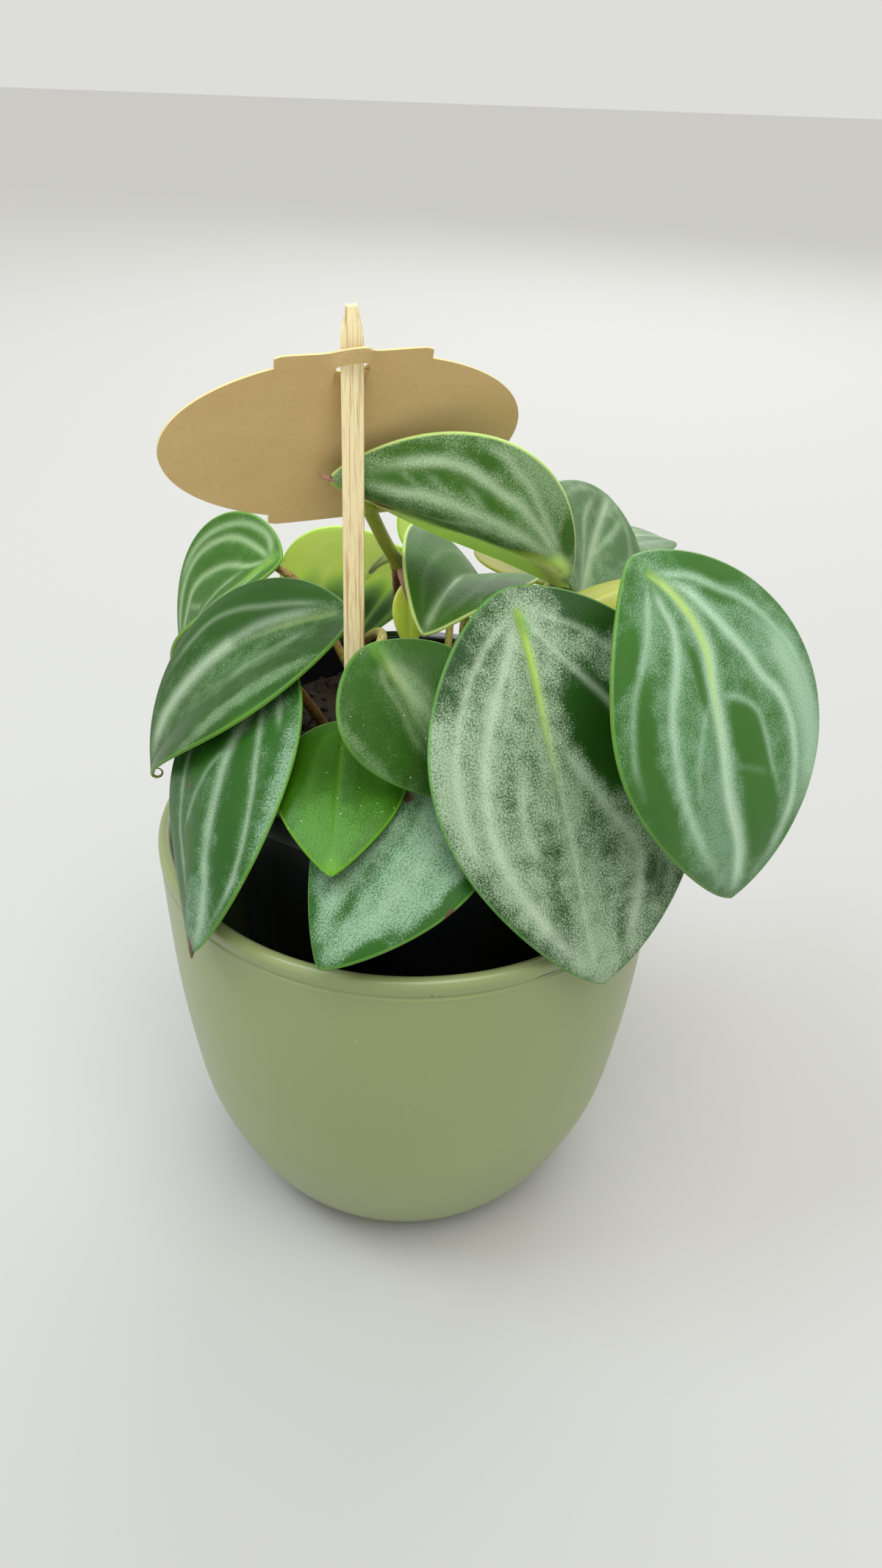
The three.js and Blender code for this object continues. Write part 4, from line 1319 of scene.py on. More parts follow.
SHEEN = Coat(
    frost=0.34, glow=0.25, rim_frost=-0.15, rib=1.0, rib_reach=0.22, rib_width=0.8, silver_rib=2.1,
    silver_strength=1.0,
    rib_path=((0, 0), (0.05, 0.05), (0.15, 0.085), (0.25, 0.06), (0.35, -0.03), (0.45, -0.08),
              (0.63, -0.12), (0.82, -0.02), (1, 0)),
    veins=(
        Vein(((0.03, -0.05), (0.08, -0.09), (0.15, -0.12), (0.23, -0.24), (0.32, -0.43), (0.39, -0.51),
              (0.56, -0.55), (0.75, -0.41), (0.9, -0.2)), 1.5, 0.75),
        Vein(((0.36, -0.06), (0.4, -0.2), (0.5, -0.36), (0.62, -0.42)), 0.8, 0.35),
        Vein(((0.02, -0.08), (0.06, -0.2), (0.13, -0.37), (0.2, -0.58), (0.26, -0.73), (0.4, -0.88),
              (0.52, -0.88)), 0.9, 0.45),
        Vein(((0.03, 0.06), (0.09, 0.18), (0.17, 0.25), (0.24, 0.31), (0.31, 0.38), (0.38, 0.44),
              (0.45, 0.55), (0.52, 0.59), (0.62, 0.57), (0.75, 0.49), (0.84, 0.35), (0.93, 0.16)), 1.5, 0.85),
        Vein(((0.01, 0.05), (0.03, 0.14), (0.07, 0.29), (0.13, 0.42), (0.19, 0.58), (0.26, 0.7),
              (0.39, 0.84), (0.55, 0.84), (0.7, 0.75)), 1.1, 0.6),
        Vein(((0.37, 0), (0.4, 0.16), (0.455, 0.29), (0.53, 0.31), (0.6, 0.32), (0.7, 0.36)), 0.85, 0.45),
        Vein(((0.57, 0), (0.6, 0.14), (0.63, 0.28)), 0.7, 0.14),
        Vein(((0.28, 0.66), (0.45, 0.76), (0.62, 0.76), (0.78, 0.6)), 4.5, 0.55),
    ),
    patches=(
        Patch(0.51, 0.17, 8.5, 4.4, -1.1, 6), Patch(0.73, 0.19, 11.5, 4.6, -1.1, 3),
        Patch(0.36, -0.76, 13, 3.4, -0.6, -22),
        Patch(0.6, -0.74, 17, 3.6, -0.55, 12), Patch(0.15, -0.64, 10, 2.8, -0.8, -58),
        Patch(0.09, -0.1, 8, 1.5, -0.55, -20),
        Patch(0.31, -0.12, 8, 1.2, -0.6, -12), Patch(0.08, 0.48, 9, 3.2, -0.65, 55),
        Patch(0.15, 0.4, 5, 2.0, -0.5, 48),
        # the first patch here paints a bluish highlight on the left half near the base
        Patch(0.12, -0.34, 7, 4, 0.35, -40), Patch(0.3, 0.57, 12, 4, 0.2, 30),
        # this patch brightens the frost along the right margin: partly the leaf's frost, partly a painted
        # teal sheen
        Patch(0.52, 0.78, 17, 4.5, 0.7, 0),
        Patch(0.58, -0.3, 20, 4.4, 0.25, 0), Patch(0.8, -0.2, 12, 4, 0.2, 10), Patch(0.9, 0.3, 8, 5, 0.15),
    ),
    limes=(Patch(0, 0.0, 4, 2, 0.35),),
)
STRIPED = Coat(
    frost=0.24, glow=0.36, rim_frost=0.2, rib=1.0, rib_reach=1.0, rib_width=0.8, silver_rib=1.0,
    silver_strength=0.0,
    rib_path=((0, 0.05), (0.12, 0.05), (0.24, -0.06), (0.34, -0.28), (0.49, -0.6), (0.64, -0.54),
              (0.74, -0.44), (1, 0)),
    lime_side=-1.0,
    veins=(
        Vein(((0.04, 0.1), (0.22, 0.12), (0.36, 0.06), (0.48, 0), (0.58, -0.16), (0.7, -0.2)), 0.9, 0.5),
        Vein(((0.08, 0.12), (0.3, 0.14), (0.43, 0.13), (0.55, 0.12), (0.66, 0.12), (0.76, 0.06),
              (0.88, 0.06)), 1.3, 0.75),
        Vein(((0.07, 0.18), (0.2, 0.31), (0.32, 0.43), (0.42, 0.46), (0.55, 0.54), (0.63, 0.53),
              (0.74, 0.41), (0.86, 0.2)), 1.3, 0.85),
        Vein(((0.07, 0.22), (0.17, 0.38), (0.25, 0.52), (0.32, 0.66), (0.4, 0.76), (0.46, 0.84),
              (0.54, 0.86)), 1.1, 0.7),
        Vein(((0.42, 0.14), (0.48, 0.26), (0.55, 0.36)), 0.8, 0.35),
        Vein(((0.56, 0.14), (0.63, 0.26), (0.68, 0.34)), 0.8, 0.35),
        Vein(((0.68, 0.14), (0.73, 0.22), (0.78, 0.3)), 0.7, 0.3),
    ),
    patches=(
        Patch(0.45, 0.33, 10, 2.6, -0.4, 15), Patch(0.63, 0.35, 5, 2.4, -0.4),
        Patch(0.77, 0.2, 6, 2.2, -0.45, -10),
        Patch(0.24, 0.36, 5, 1.6, -0.35, 35), Patch(0.52, 0.68, 5, 2.0, -0.3, 10),
        Patch(0.75, 0.54, 9, 1.8, -0.45, -22),
        Patch(0.31, 0.92, 12, 4, 0.5, 30), Patch(0.08, 0.45, 4.5, 1.8, -0.9, 50),
        Patch(0.1, 0.12, 6, 2.5, 0.3),
    ),
    limes=(Patch(0.04, 0.1, 4.0, 2.4, 0.8),),
    scars=(Patch(1, 0.0, 1.6, 1.6, 0.9), Patch(0.87, -0.22, 6, 1.4, 1.0, 12),
           Patch(0.78, -0.42, 5, 1.3, 1.0, 14)),
)
REAR_STRIPED = Coat(frost=0.15, glow=0.4, rib_reach=0.6,
                    veins=(arc(0.42, 0.75), arc(-0.42, 0.75), arc(0.75), arc(-0.75)))
SOFT_RIB = Coat(
    frost=0.0, glow=0.34, rim_frost=-0.1, rib=0.4, rib_reach=0.12, rib_width=0.9, silver_rib=0.9,
    silver_strength=0.15,
    rib_path=((0, -0.05), (0.14, -0.12), (0.22, -0.15), (0.35, -0.2), (0.6, -0.19), (0.85, -0.1),
              (1, 0)),
    veins=(
        # the first two veins draw a broad whitish streak on the upper half beside the midrib: a painted
        # highlight where light grazes the crease
        Vein(((0.36, -0.28), (0.46, -0.28), (0.64, -0.26), (0.8, -0.22), (0.95, -0.1)), 2.1, 0.85),
        Vein(((0.06, -0.15), (0.18, -0.23), (0.3, -0.28), (0.42, -0.28), (0.5, -0.28)), 1.6, 0.45),
        Vein(((0.02, -0.2), (0.12, -0.33), (0.23, -0.47), (0.31, -0.6), (0.43, -0.71), (0.56, -0.66),
              (0.72, -0.55)), 1.0, 0.35),
        Vein(((0.1, 0.1), (0.25, 0.22), (0.45, 0.25)), 2.4, 0.2),
    ),
    patches=(
        # the first patch paints a glossy highlight along the lower margin
        Patch(0.4, 0.74, 28, 2.8, 0.8, 2), Patch(0.25, -0.7, 22, 9, -0.5, -20), Patch(0.4, 0.15, 22, 7, 0.42),
        Patch(0.02, -0.2, 5, 4, 0.3), Patch(0.65, -0.85, 14, 3, 0.3, 12), Patch(0.7, -0.12, 14, 5, 0.15, 4),
    ),
    limes=(Patch(0.95, 0.2, 5, 4, 0.55), Patch(0.5, 1.0, 40, 1.4, 0.4)),
)
HOODED = Coat(
    frost=-0.2, glow=0.25, rim_frost=0.0, rib=0.0, silver_rib=1.4, silver_strength=0.0,
    veins=(Vein(((0.45, 0), (0.7, 0), (0.85, 0), (0.97, 0)), 1.3, 0.6), arc(0.45, 0.12),
           arc(-0.45, 0.12)),
    # both patches are painted light: the first a highlight on the near half, the second a grey-white
    # reflection along the far half seen at a grazing angle
    patches=(Patch(0.72, 0.56, 8, 1.8, 0.5, -20), Patch(0.2, -0.8, 16, 3, 1.0, -10)),
)
FIVE_LINES = Coat(
    frost=-0.03, glow=0.42, rim_frost=0.1, rib=0.3, rib_reach=0.05, rib_width=0.8, silver_rib=1.6,
    silver_strength=0.6,
    rib_path=((0, 0.1), (0.26, 0.24), (0.33, 0.15), (0.41, 0.11), (0.54, 0.11), (0.67, 0.14), (0.79, 0.22),
              (0.9, 0.18), (1, 0.02)),
    veins=(
        Vein(((0.1, 0.25), (0.25, 0.4), (0.39, 0.53), (0.51, 0.63), (0.63, 0.67), (0.74, 0.61), (0.86, 0.4)),
             0.85, 0.6),
        Vein(((0.08, 0.3), (0.2, 0.54), (0.31, 0.7)), 0.8, 0.5),
        Vein(((0.15, -0.4), (0.34, -0.59), (0.45, -0.62), (0.61, -0.56), (0.72, -0.35), (0.84, -0.12)), 0.85,
             0.5),
        Vein(((0.36, 0.08), (0.42, -0.12), (0.52, -0.3), (0.62, -0.38)), 0.85, 0.45),
    ),
    patches=(
        Patch(0.5, 0.93, 24, 3.8, 0.6, 2), Patch(0.34, -0.12, 7, 3, -0.45),
        Patch(0.41, 0.34, 7, 2.2, -0.4, 10),
        Patch(0.63, 0.42, 9, 2.4, -0.35), Patch(0.85, 0.1, 10, 7, 0.42), Patch(0.33, -0.84, 10, 3, 0.3),
        Patch(0.2, 0.6, 8, 2.4, 0.3),
    ),
    scars=(Patch(0.985, 0.0, 3.5, 3, 1.0), Patch(0.475, -0.44, 2.0, 1.1, 1.0),
           Patch(0.94, 0.1, 1.2, 0.9, 0.6)),
)
REAR_LINES = Coat(frost=0.25, glow=0.36, rib=0.4, rib_reach=0.1,
                  veins=(arc(0.4, 0.75), arc(-0.38, 0.7), arc(0.75, 0.5), arc(-0.72, 0.6)))
PLAIN = Coat(
    frost=0.0, glow=0.2, rim_frost=0.05, rib=0.25, rib_reach=0.3, rib_width=0.7, silver_rib=0.8,
    silver_strength=0.3,
    veins=(arc(0.4, 0.12), arc(-0.4, 0.15)),
    # the first patch paints the lighter teal-green sheen on the lower part of leaf_front_bright as frost
    patches=(Patch(0.76, -0.15, 10, 9, 0.9), Patch(0.5, 0.6, 14, 4, 0.35), Patch(0.2, -0.5, 10, 6, -0.3)),
    limes=(Patch(0.99, 0.0, 4, 2.5, 0.6),),
)
DIM = Coat(
    frost=0.08, glow=0.34, rim_frost=0.15, rib=0.5, rib_reach=0.05, rib_width=1.0, silver_rib=1.2,
    silver_strength=0.3,
    veins=(
        Vein(((0.03, 0), (0.23, 0.05), (0.34, 0.07), (0.46, 0.14), (0.7, 0.12)), 1.7, 0.65),
        Vein(((0.1, -0.1), (0.18, -0.19), (0.39, -0.16), (0.55, -0.16), (0.72, -0.07)), 1.0, 0.45),
        Vein(((0.1, 0.08), (0.3, 0.22), (0.52, 0.3)), 1.4, 0.35),
    ),
    patches=(Patch(0.36, 0.03, 8, 4, 0.5, 12), Patch(0.55, -0.8, 13, 1.6, 0.5, 25),
             Patch(0.15, 0.55, 8, 5, -0.3)),
    limes=(Patch(0, 0.0, 4.0, 2.6, 0.85),),
)
SILVERY = Coat(
    frost=0.68, glow=0.1, rim_frost=-0.5, rib=0.0, silver_strength=0.0,
    veins=(arc(0.34, 0.25, 2.0), arc(-0.36, 0.2, 2.0)),
    patches=(
        Patch(0.7, -0.07, 13, 1.8, -0.4), Patch(0.42, 0.02, 14, 1.8, -0.3, 4),
        Patch(0.6, 0.84, 17, 2.6, -0.6, -4),
        Patch(0.86, 0.38, 8, 2.0, -0.5, -20), Patch(0.6, -0.36, 12, 2.6, -0.3, -8),
        Patch(0.3, -0.3, 9, 6, -0.25),
    ),
    scars=(Patch(0.585, 0.9, 3.0, 1.4, 1.1), Patch(0.26, -0.15, 3.5, 2.2, 0.8)),
)
ARCED = Coat(
    frost=-0.05, glow=0.34, rim_frost=0.0, rib=0.5, rib_reach=0.25, rib_width=1.1, silver_rib=1.3,
    silver_strength=0.6,
    rib_path=((0, 0), (0.07, 0.14), (0.14, 0.29), (0.3, 0.42), (0.6, 0.38), (1, 0)),
    veins=(
        Vein(((0, 0), (0.14, -0.05), (0.29, -0.25), (0.49, -0.43), (0.59, -0.45), (0.66, -0.38),
              (0.75, -0.29), (0.92, -0.08)), 1.0, 0.85),
        Vein(((0, -0.02), (0.09, -0.26), (0.24, -0.58), (0.43, -0.73), (0.58, -0.7), (0.75, -0.5),
              (0.92, -0.12)), 1.0, 0.85),
        Vein(((0, -0.06), (0.02, -0.34), (0.17, -0.68), (0.38, -0.85), (0.5, -0.84), (0.68, -0.7)), 1.0,
             0.75),
        Vein(((0.66, -0.38), (0.6, -0.2), (0.54, -0.06)), 0.8, 0.5),
        Vein(((0.2, 0), (0.4, 0.02), (0.62, 0.05), (0.85, 0.03)), 1.0, 0.6),
        arc(0.7, 0.7),
    ),
    limes=(Patch(0.04, 0.1, 7, 2.6, 0.8, 45),),
)
FADED = Coat(
    frost=0.18, glow=0.3, rim_frost=0.1, rib=0.2, rib_reach=0.1, rib_width=1.2, silver_rib=1.5,
    silver_strength=0.75,
    veins=(
        Vein(((0, 0.02), (0.29, 0.14), (0.57, 0.28), (0.85, 0.22)), 1.0, 0.5),
        Vein(((0.3, -0.02), (0.5, -0.15), (0.68, -0.25), (0.85, -0.3)), 0.9, 0.5), arc(-0.6, 0.3),
        arc(0.7, 0.3),
    ),
    patches=(Patch(0.66, -0.1, 5, 2.2, -0.6, -15), Patch(0.6, -0.42, 7, 3, -0.55, -15),
             Patch(0.2, -0.4, 9, 6, 0.15)),
)
YOUNG = Coat(
    frost=0.1, glow=0.2, rim_frost=0.0, rib=0.6, rib_reach=0.8, rib_width=0.6, silver_rib=0.6,
    silver_strength=0.2,
    veins=(arc(0.45, 0.3, 0.5), arc(-0.45, 0.3, 0.5)),
)
# its patch paints shade over the lower part of leaf_back_pale's underside, which lies in the shadow of the
# leaves in front
UNDERSIDE = Coat(frost=0.1, glow=0.3, rim_frost=0.0, rib=0.3, rib_reach=0.5,
                 patches=(Patch(0.72, -0.2, 22, 24, -1.3),))

# node, at, length, width, azimuth, rise, droop, sway, roll, twist, curl, fold, then the stalk and the skin
LEAVES = (
    Leaf("leaf_front_right", (24, -29, 204), 98, 74, -54, -45, 39, 6, 9, 8, 19, 11,
         ((14, -8, ROOT_DEPTH), (16, -14, 165), (20, -21, 188)), Finish.LEAF_FROSTED, coat=FROSTED),
    Leaf("leaf_right_outer", (53, -33, 216), 87, 69, -33, -39, 54, -12, 14, -2, 14, 6,
         ((39, -5, 178), (44, -12, 186), (51, -11, 195), (54, -19, 208)), Finish.LEAF_SHEEN, coat=SHEEN,
         widest=0.88),
    Leaf("leaf_top", (36, -4, 203), 67, 42, -145, 42, 33, -42, 52, 23, 19, 48,
         ((18, 29, 173), (31, 28, 181), (38, 19, 191), (37, 7, 198)), Finish.LEAF_STRIPED, coat=STRIPED,
         widest=0.9, facing=-1,
         hook=Hook(4.0, 60, 30, 0.7, Finish.BRACT)),
    Leaf("leaf_left_upper", (-21, -2, 189), 71, 55, -164, -13, 56, -18, -7, -7, 26, 22,
         ((-17, 4, 181), (-18.5, 1, 186)), Finish.LEAF_DARK, coat=SOFT_RIB,
         hook=Hook(7.0, 330, 8, 0.6, Finish.STEM_OLIVE)),
    Leaf("leaf_left_lower", (-41, -6, 179), 83, 50, -103, -13, 69, -5, 25, 20, 5, -6,
         ((-26, 14, ROOT_DEPTH), (-30, 8, 158), (-36, 0, 171)), Finish.LEAF_SILVER_LINES, coat=FIVE_LINES,
         widest=0.95,
         hook=Hook(3.5, 10, -45, 0.9, Finish.WITHERED)),
    Leaf("leaf_front_bright", (-17, -28, 171), 44, 33, -91, -7, 29, -1, 1, 2, 27, 8,
         ((-4, -8, ROOT_DEPTH), (-7, -16, 156), (-11, -24, 167)), Finish.LEAF_GLOSSY, coat=PLAIN),
    Leaf("leaf_centre_round", (-9, -33, 195), 39, 42, -46, -32, 39, 3, -1, 23, 11, 12,
         ((-16, 4, 178), (-10, -8, 188), (-8, -24, 194)), Finish.LEAF_DUSTY, coat=DIM),
    Leaf("leaf_front_low", (9, -34, 167), 64, 44, -109, -9, 46, -35, -11, -6, 18, 0,
         ((9, -20, ROOT_DEPTH), (9.5, -23, 153), (10, -30, 162)), Finish.LEAF_SILVER_LINES, coat=SILVERY),
    Leaf("leaf_back_left", (-42, 37, 188), 56, 50, 161, -23, 61, 6, -27, 7, -19, 12,
         ((-16, 32, ROOT_DEPTH), (-22, 35, 160), (-34, 37, 181)), Finish.LEAF_ARCED, coat=ARCED),
    Leaf("leaf_back_pale", (-7, 43, 190), 62, 50, 126, -36, 43, 8, 33, -5, 22, 23,
         ((-4, 21, 187), (-5, 33, 191)), Finish.LEAF_STRIPED, Finish.BACK_LIME, coat=UNDERSIDE,
         slot="leaf_pale"),
    Leaf("leaf_centre_hooded", (20, 29, 186), 51, 40, -114, 43, 75, 3, -12, -9, 19, 33,
         ((14, 31, 166), (15, 35, 174), (19, 33, 182)), Finish.LEAF_STRIPED, coat=HOODED),
    Leaf("leaf_back_right_tall", (48, 33, 183), 45, 46, 77, 28, 17, -5, 46, -6, 35, 19,
         ((34, 24, ROOT_DEPTH), (44, 28, 160), (49, 31, 174)), Finish.LEAF_GREY, coat=FADED),
    Leaf("leaf_back_right_far", (57, 64, 184), 42, 27, 45, 6, 36, 2, 1, 2, 24, 11,
         ((37, 32, ROOT_DEPTH), (39, 35, 157), (48, 47, 169), (57, 60, 180)), Finish.LEAF_GREY, coat=FADED),
    Leaf("leaf_back_young", (0, 68, 180), 28, 13, -90, 80, 0, 0, 0, 0, 20, 5,
         ((10, 51, ROOT_DEPTH), (11, 61, 163), (8, 71, 173)), Finish.LEAF_YOUNG, Finish.BACK_LIME,
         coat=YOUNG, slot="leaf_pale"),
    Leaf("leaf_back_olive", (46, 43, 180), 44, 33, 128, 0, 8, -5, 8, 4, 20, 15,
         ((28, 38, ROOT_DEPTH), (36, 42, 160), (44, 43, 174)), Finish.LEAF_OLIVE, Finish.BACK_OLIVE,
         coat=PLAIN, slot="leaf_olive"),
    Leaf("leaf_right_small", (42, -2, 193), 38, 29, 36, 9, 23, 11, 3, -1, 43, -4,
         ((34, -3, 168), (35, 3, 180), (40, 2, 189)), Finish.LEAF_YOUNG, Finish.BACK_OLIVE, coat=YOUNG,
         slot="leaf_olive"),
    Leaf("leaf_rear_middle", (28, 50, 166), 50, 34, 68, 5, 58, 0, 0, 0, 22, 10,
         ((22, 44, ROOT_DEPTH), (23, 45, 155), (27, 49, 162)), Finish.LEAF_STRIPED, coat=REAR_STRIPED),
    Leaf("leaf_rear_right", (46, 8, 168), 58, 44, 8, 5, 58, 0, 0, 0, 22, 10,
         ((30, 8, ROOT_DEPTH), (38, 8, 158), (44, 8, 165)), Finish.LEAF_SILVER_LINES, coat=REAR_LINES),
    Leaf("leaf_young_front", (-2.5, 13, 192), 18, 9, -75, -66, 14, 0, 0, 0, 25, 12,
         (), Finish.BACK_YOUNG, Finish.BACK_YOUNG, coat=YOUNG, slot="leaf_pale", wave=0.1, puff=0.1),
)


@dataclass
class Foliage:
    """All the leaves, from the two large ones in front to the ones behind the stems."""

    leaves: tuple[Leaf, ...] = LEAVES

    def build(self) -> list[bpy.types.Object]:
        """Builds every leaf."""
        return [Blade(leaf).piece() for leaf in self.leaves]


# ---- stems ----


@dataclass(frozen=True)
class Stem:
    """A stem from the soil to where its last leaf stalks leave it."""

    node: str
    radius: float
    path: tuple[Point, ...]

    def shell(self) -> Shell:
        """Builds the stem, a little thicker at its joints and foot.

        Returns:
            A closed shell.
        """
        first = self.path[0]
        path = spline([first, (first[0], first[1], SOIL_TOP), *self.path[1:]], 70)
        height = path[:, 2]
        size = np.full(len(path), self.radius)
        for joint in self.path[1:]:
            gap = np.linalg.norm(path - np.array(joint), axis=1)
            size += 0.45 * np.exp(-((gap / 2.4) ** 2))
        size += 0.25 * np.exp(-(((height - SOIL_TOP) / 5.0) ** 2))
        size += 0.05 * np.sin(height * 1.3)
        return tube(path, size, 22)

    def build(self) -> bpy.types.Object:
        """Builds the stem's object."""
        piece = self.shell().piece(f"{self.node}_grown", [Finish.STEM.material()], sharp=70.0)
        return fit_out(piece, "stem", self.node)


@dataclass
class Stems:
    """The four stems, with the bare stalk that rises from the back one."""

    stems: tuple[Stem, ...] = (
        Stem("stem_back", 2.2, ((2, 36, ROOT_DEPTH), (-1, 33, 160), (-4, 24, 184), (-4.5, 10, 200))),
        Stem("stem_middle", 2.3, ((6, 30, ROOT_DEPTH), (10, 32, 158), (18, 29, 174))),
        Stem("stem_right", 2.3, ((24, 4, ROOT_DEPTH), (31, -2, 160), (39, -5, 178))),
        Stem("stem_left", 2.2, ((-12, 16, ROOT_DEPTH), (-14, 11, 160), (-16.5, 4, 180))),
    )
    bare: tuple[Point, ...] = ((-4.5, 10.5, 199), (-8, 1, 209), (-12, -8.5, 221.5))
    bract: tuple[Point, ...] = ((-5.0, 9.5, 200.5), (-3.2, 7.4, 197), (-1.8, 7.0, 192.5), (-1.4, 7.6, 188.5))

    def build(self) -> list[bpy.types.Object]:
        """Builds the stems, and on the back one the bare stalk and the bract at its foot.

        Returns:
            Their objects.
        """
        made = [stem.build() for stem in self.stems]
        size = 1.75 + 0.5 * np.exp(-((np.arange(40) / 5.0) ** 2))
        stalk = tube(spline(self.bare, 40), size, 18)
        made.append(stalk.piece("bare_stalk", [Finish.STEM_OLIVE.material()], sharp=70.0))
        girth = 1.5 * np.sin(np.linspace(0.5, 3.0, 24))
        bract = tube(spline(self.bract, 24), girth, 14)
        made.append(bract.piece("bract_at_joint", [Finish.BRACT.material()], sharp=70.0))
        for piece in made[-2:]:
            fit_out(piece, "stem")
        return made


# ---- pots and soil ----


@dataclass
class Cachepot:
    """The round-bottomed outer pot, with a full-round lip and a thin groove under it."""

    height: float = 126.0
    rim: float = 72.4
    wall: float = 4.0
    floor: float = 6.0
    foot: float = 38.0
    groove_below: float = 5.0
    groove: float = 0.5

    def profile(self) -> np.ndarray:
        """Works out the pot's outline.

        Returns:
            Radius and height, one row each.
        """
        z = self.height - self.groove_below
        lip = self.wall / 2
        outer = spline([
            (self.foot, 0), (43.5, 2), (49.7, 6), (55.4, 14), (60.8, 26), (65.6, 41),
            (68.6, 61), (70.6, 81), (71.6, 101), (72.2, z - 1.2),
        ], 90)
        groove = [
            (72.25, z - 0.9), (72.15, z - 0.55), (self.rim - self.groove, z - 0.2),
            (self.rim - self.groove, z + 0.15), (72.2, z + 0.5), (self.rim, z + 0.9),
        ]
        turn = np.radians(np.linspace(0, 180, 17))
        crown = np.stack([self.rim - lip + lip * np.cos(turn), self.height - lip + lip * np.sin(turn)],
                         axis=1)
        inner = spline([
            (self.rim - self.wall, self.height - lip - 3), (67.6, 101), (66.6, 81), (64.6, 61), (61.6, 41),
            (56.8, 26), (50, 14), (45, 8.6), (39.5, self.floor),
        ], 60)
        under = [(0, 0.9), *((self.foot - back, z) for back, z in ((6, 0.9), (5, 0.5), (4, 0.05), (3.4, 0)))]
        return np.vstack([under, outer, groove, crown, inner, [(0, self.floor)]])

    def build(self) -> bpy.types.Object:
        """Builds the pot's object."""
        piece = turned(self.profile(), 192).piece("cachepot_turned", [Finish.SAGE.material()], sharp=60.0)
        return fit_out(piece, "cachepot", "cachepot")


@dataclass
class NurseryPot:
    """The thin black inner pot, which stands a little to the back of the cachepot."""

    top: float = 154.8
    rim: float = 59.5
    base: float = 42.0
    wall: float = 1.4
    foot: float = 6.3
    band: float = 7.0
    flutes: int = 30
    flute_depth: float = 0.18

    def profile(self) -> np.ndarray:
        """Works out the pot's outline, with points close enough together for the flutes.

        Returns:
            Radius and height, one row each.
        """
        neck = self.rim - 3.2
        inner = neck - self.wall
        under_band = self.top - self.band
        corners = rounded([
            (0, self.foot, 0), (self.base - 8, self.foot, 0.8), (self.base - 5, self.foot + 4, 1.5),
            (self.base, self.foot + 8, 1.5), (neck, under_band, 0.6), (self.rim, under_band, 0.5),
            (self.rim, self.top, 0.9), (inner, self.top, 0.9), (inner, under_band, 1.0),
            (self.base - self.wall, self.foot + 9, 1.0), (0, self.foot + 9, 0),
        ])
        dense = [corners[0]]
        for a, b in zip(corners[:-1], corners[1:]):
            count = max(1, int(np.linalg.norm(b - a) / 6))
            dense.extend(a + (b - a) * k / count for k in range(1, count + 1))
        return np.array(dense)

    def build(self) -> bpy.types.Object:
        """Builds the pot's object, with shallow flutes down its wall.

        Returns:
            The nursery pot.
        """
        shell = turned(self.profile(), 180)
        x, y, height = shell.points.T
        radius = np.hypot(x, y)
        flute = self.flute_depth * np.cos(self.flutes * np.arctan2(y, x))
        flute = flute * ease(height, 20, 40) * (1 - ease(height, self.top - 16, self.top - 9))
        scale = 1 + flute * (radius > self.base - 4) / np.maximum(radius, 1)
        shell.points[:, :2] *= scale[:, None]
        shell.points[:, 1] += POT_BACK
        piece = shell.piece("nursery_pot_blown", [Finish.BLACK.material()], sharp=50.0)
        return fit_out(piece, "nursery_pot", "nursery_pot")


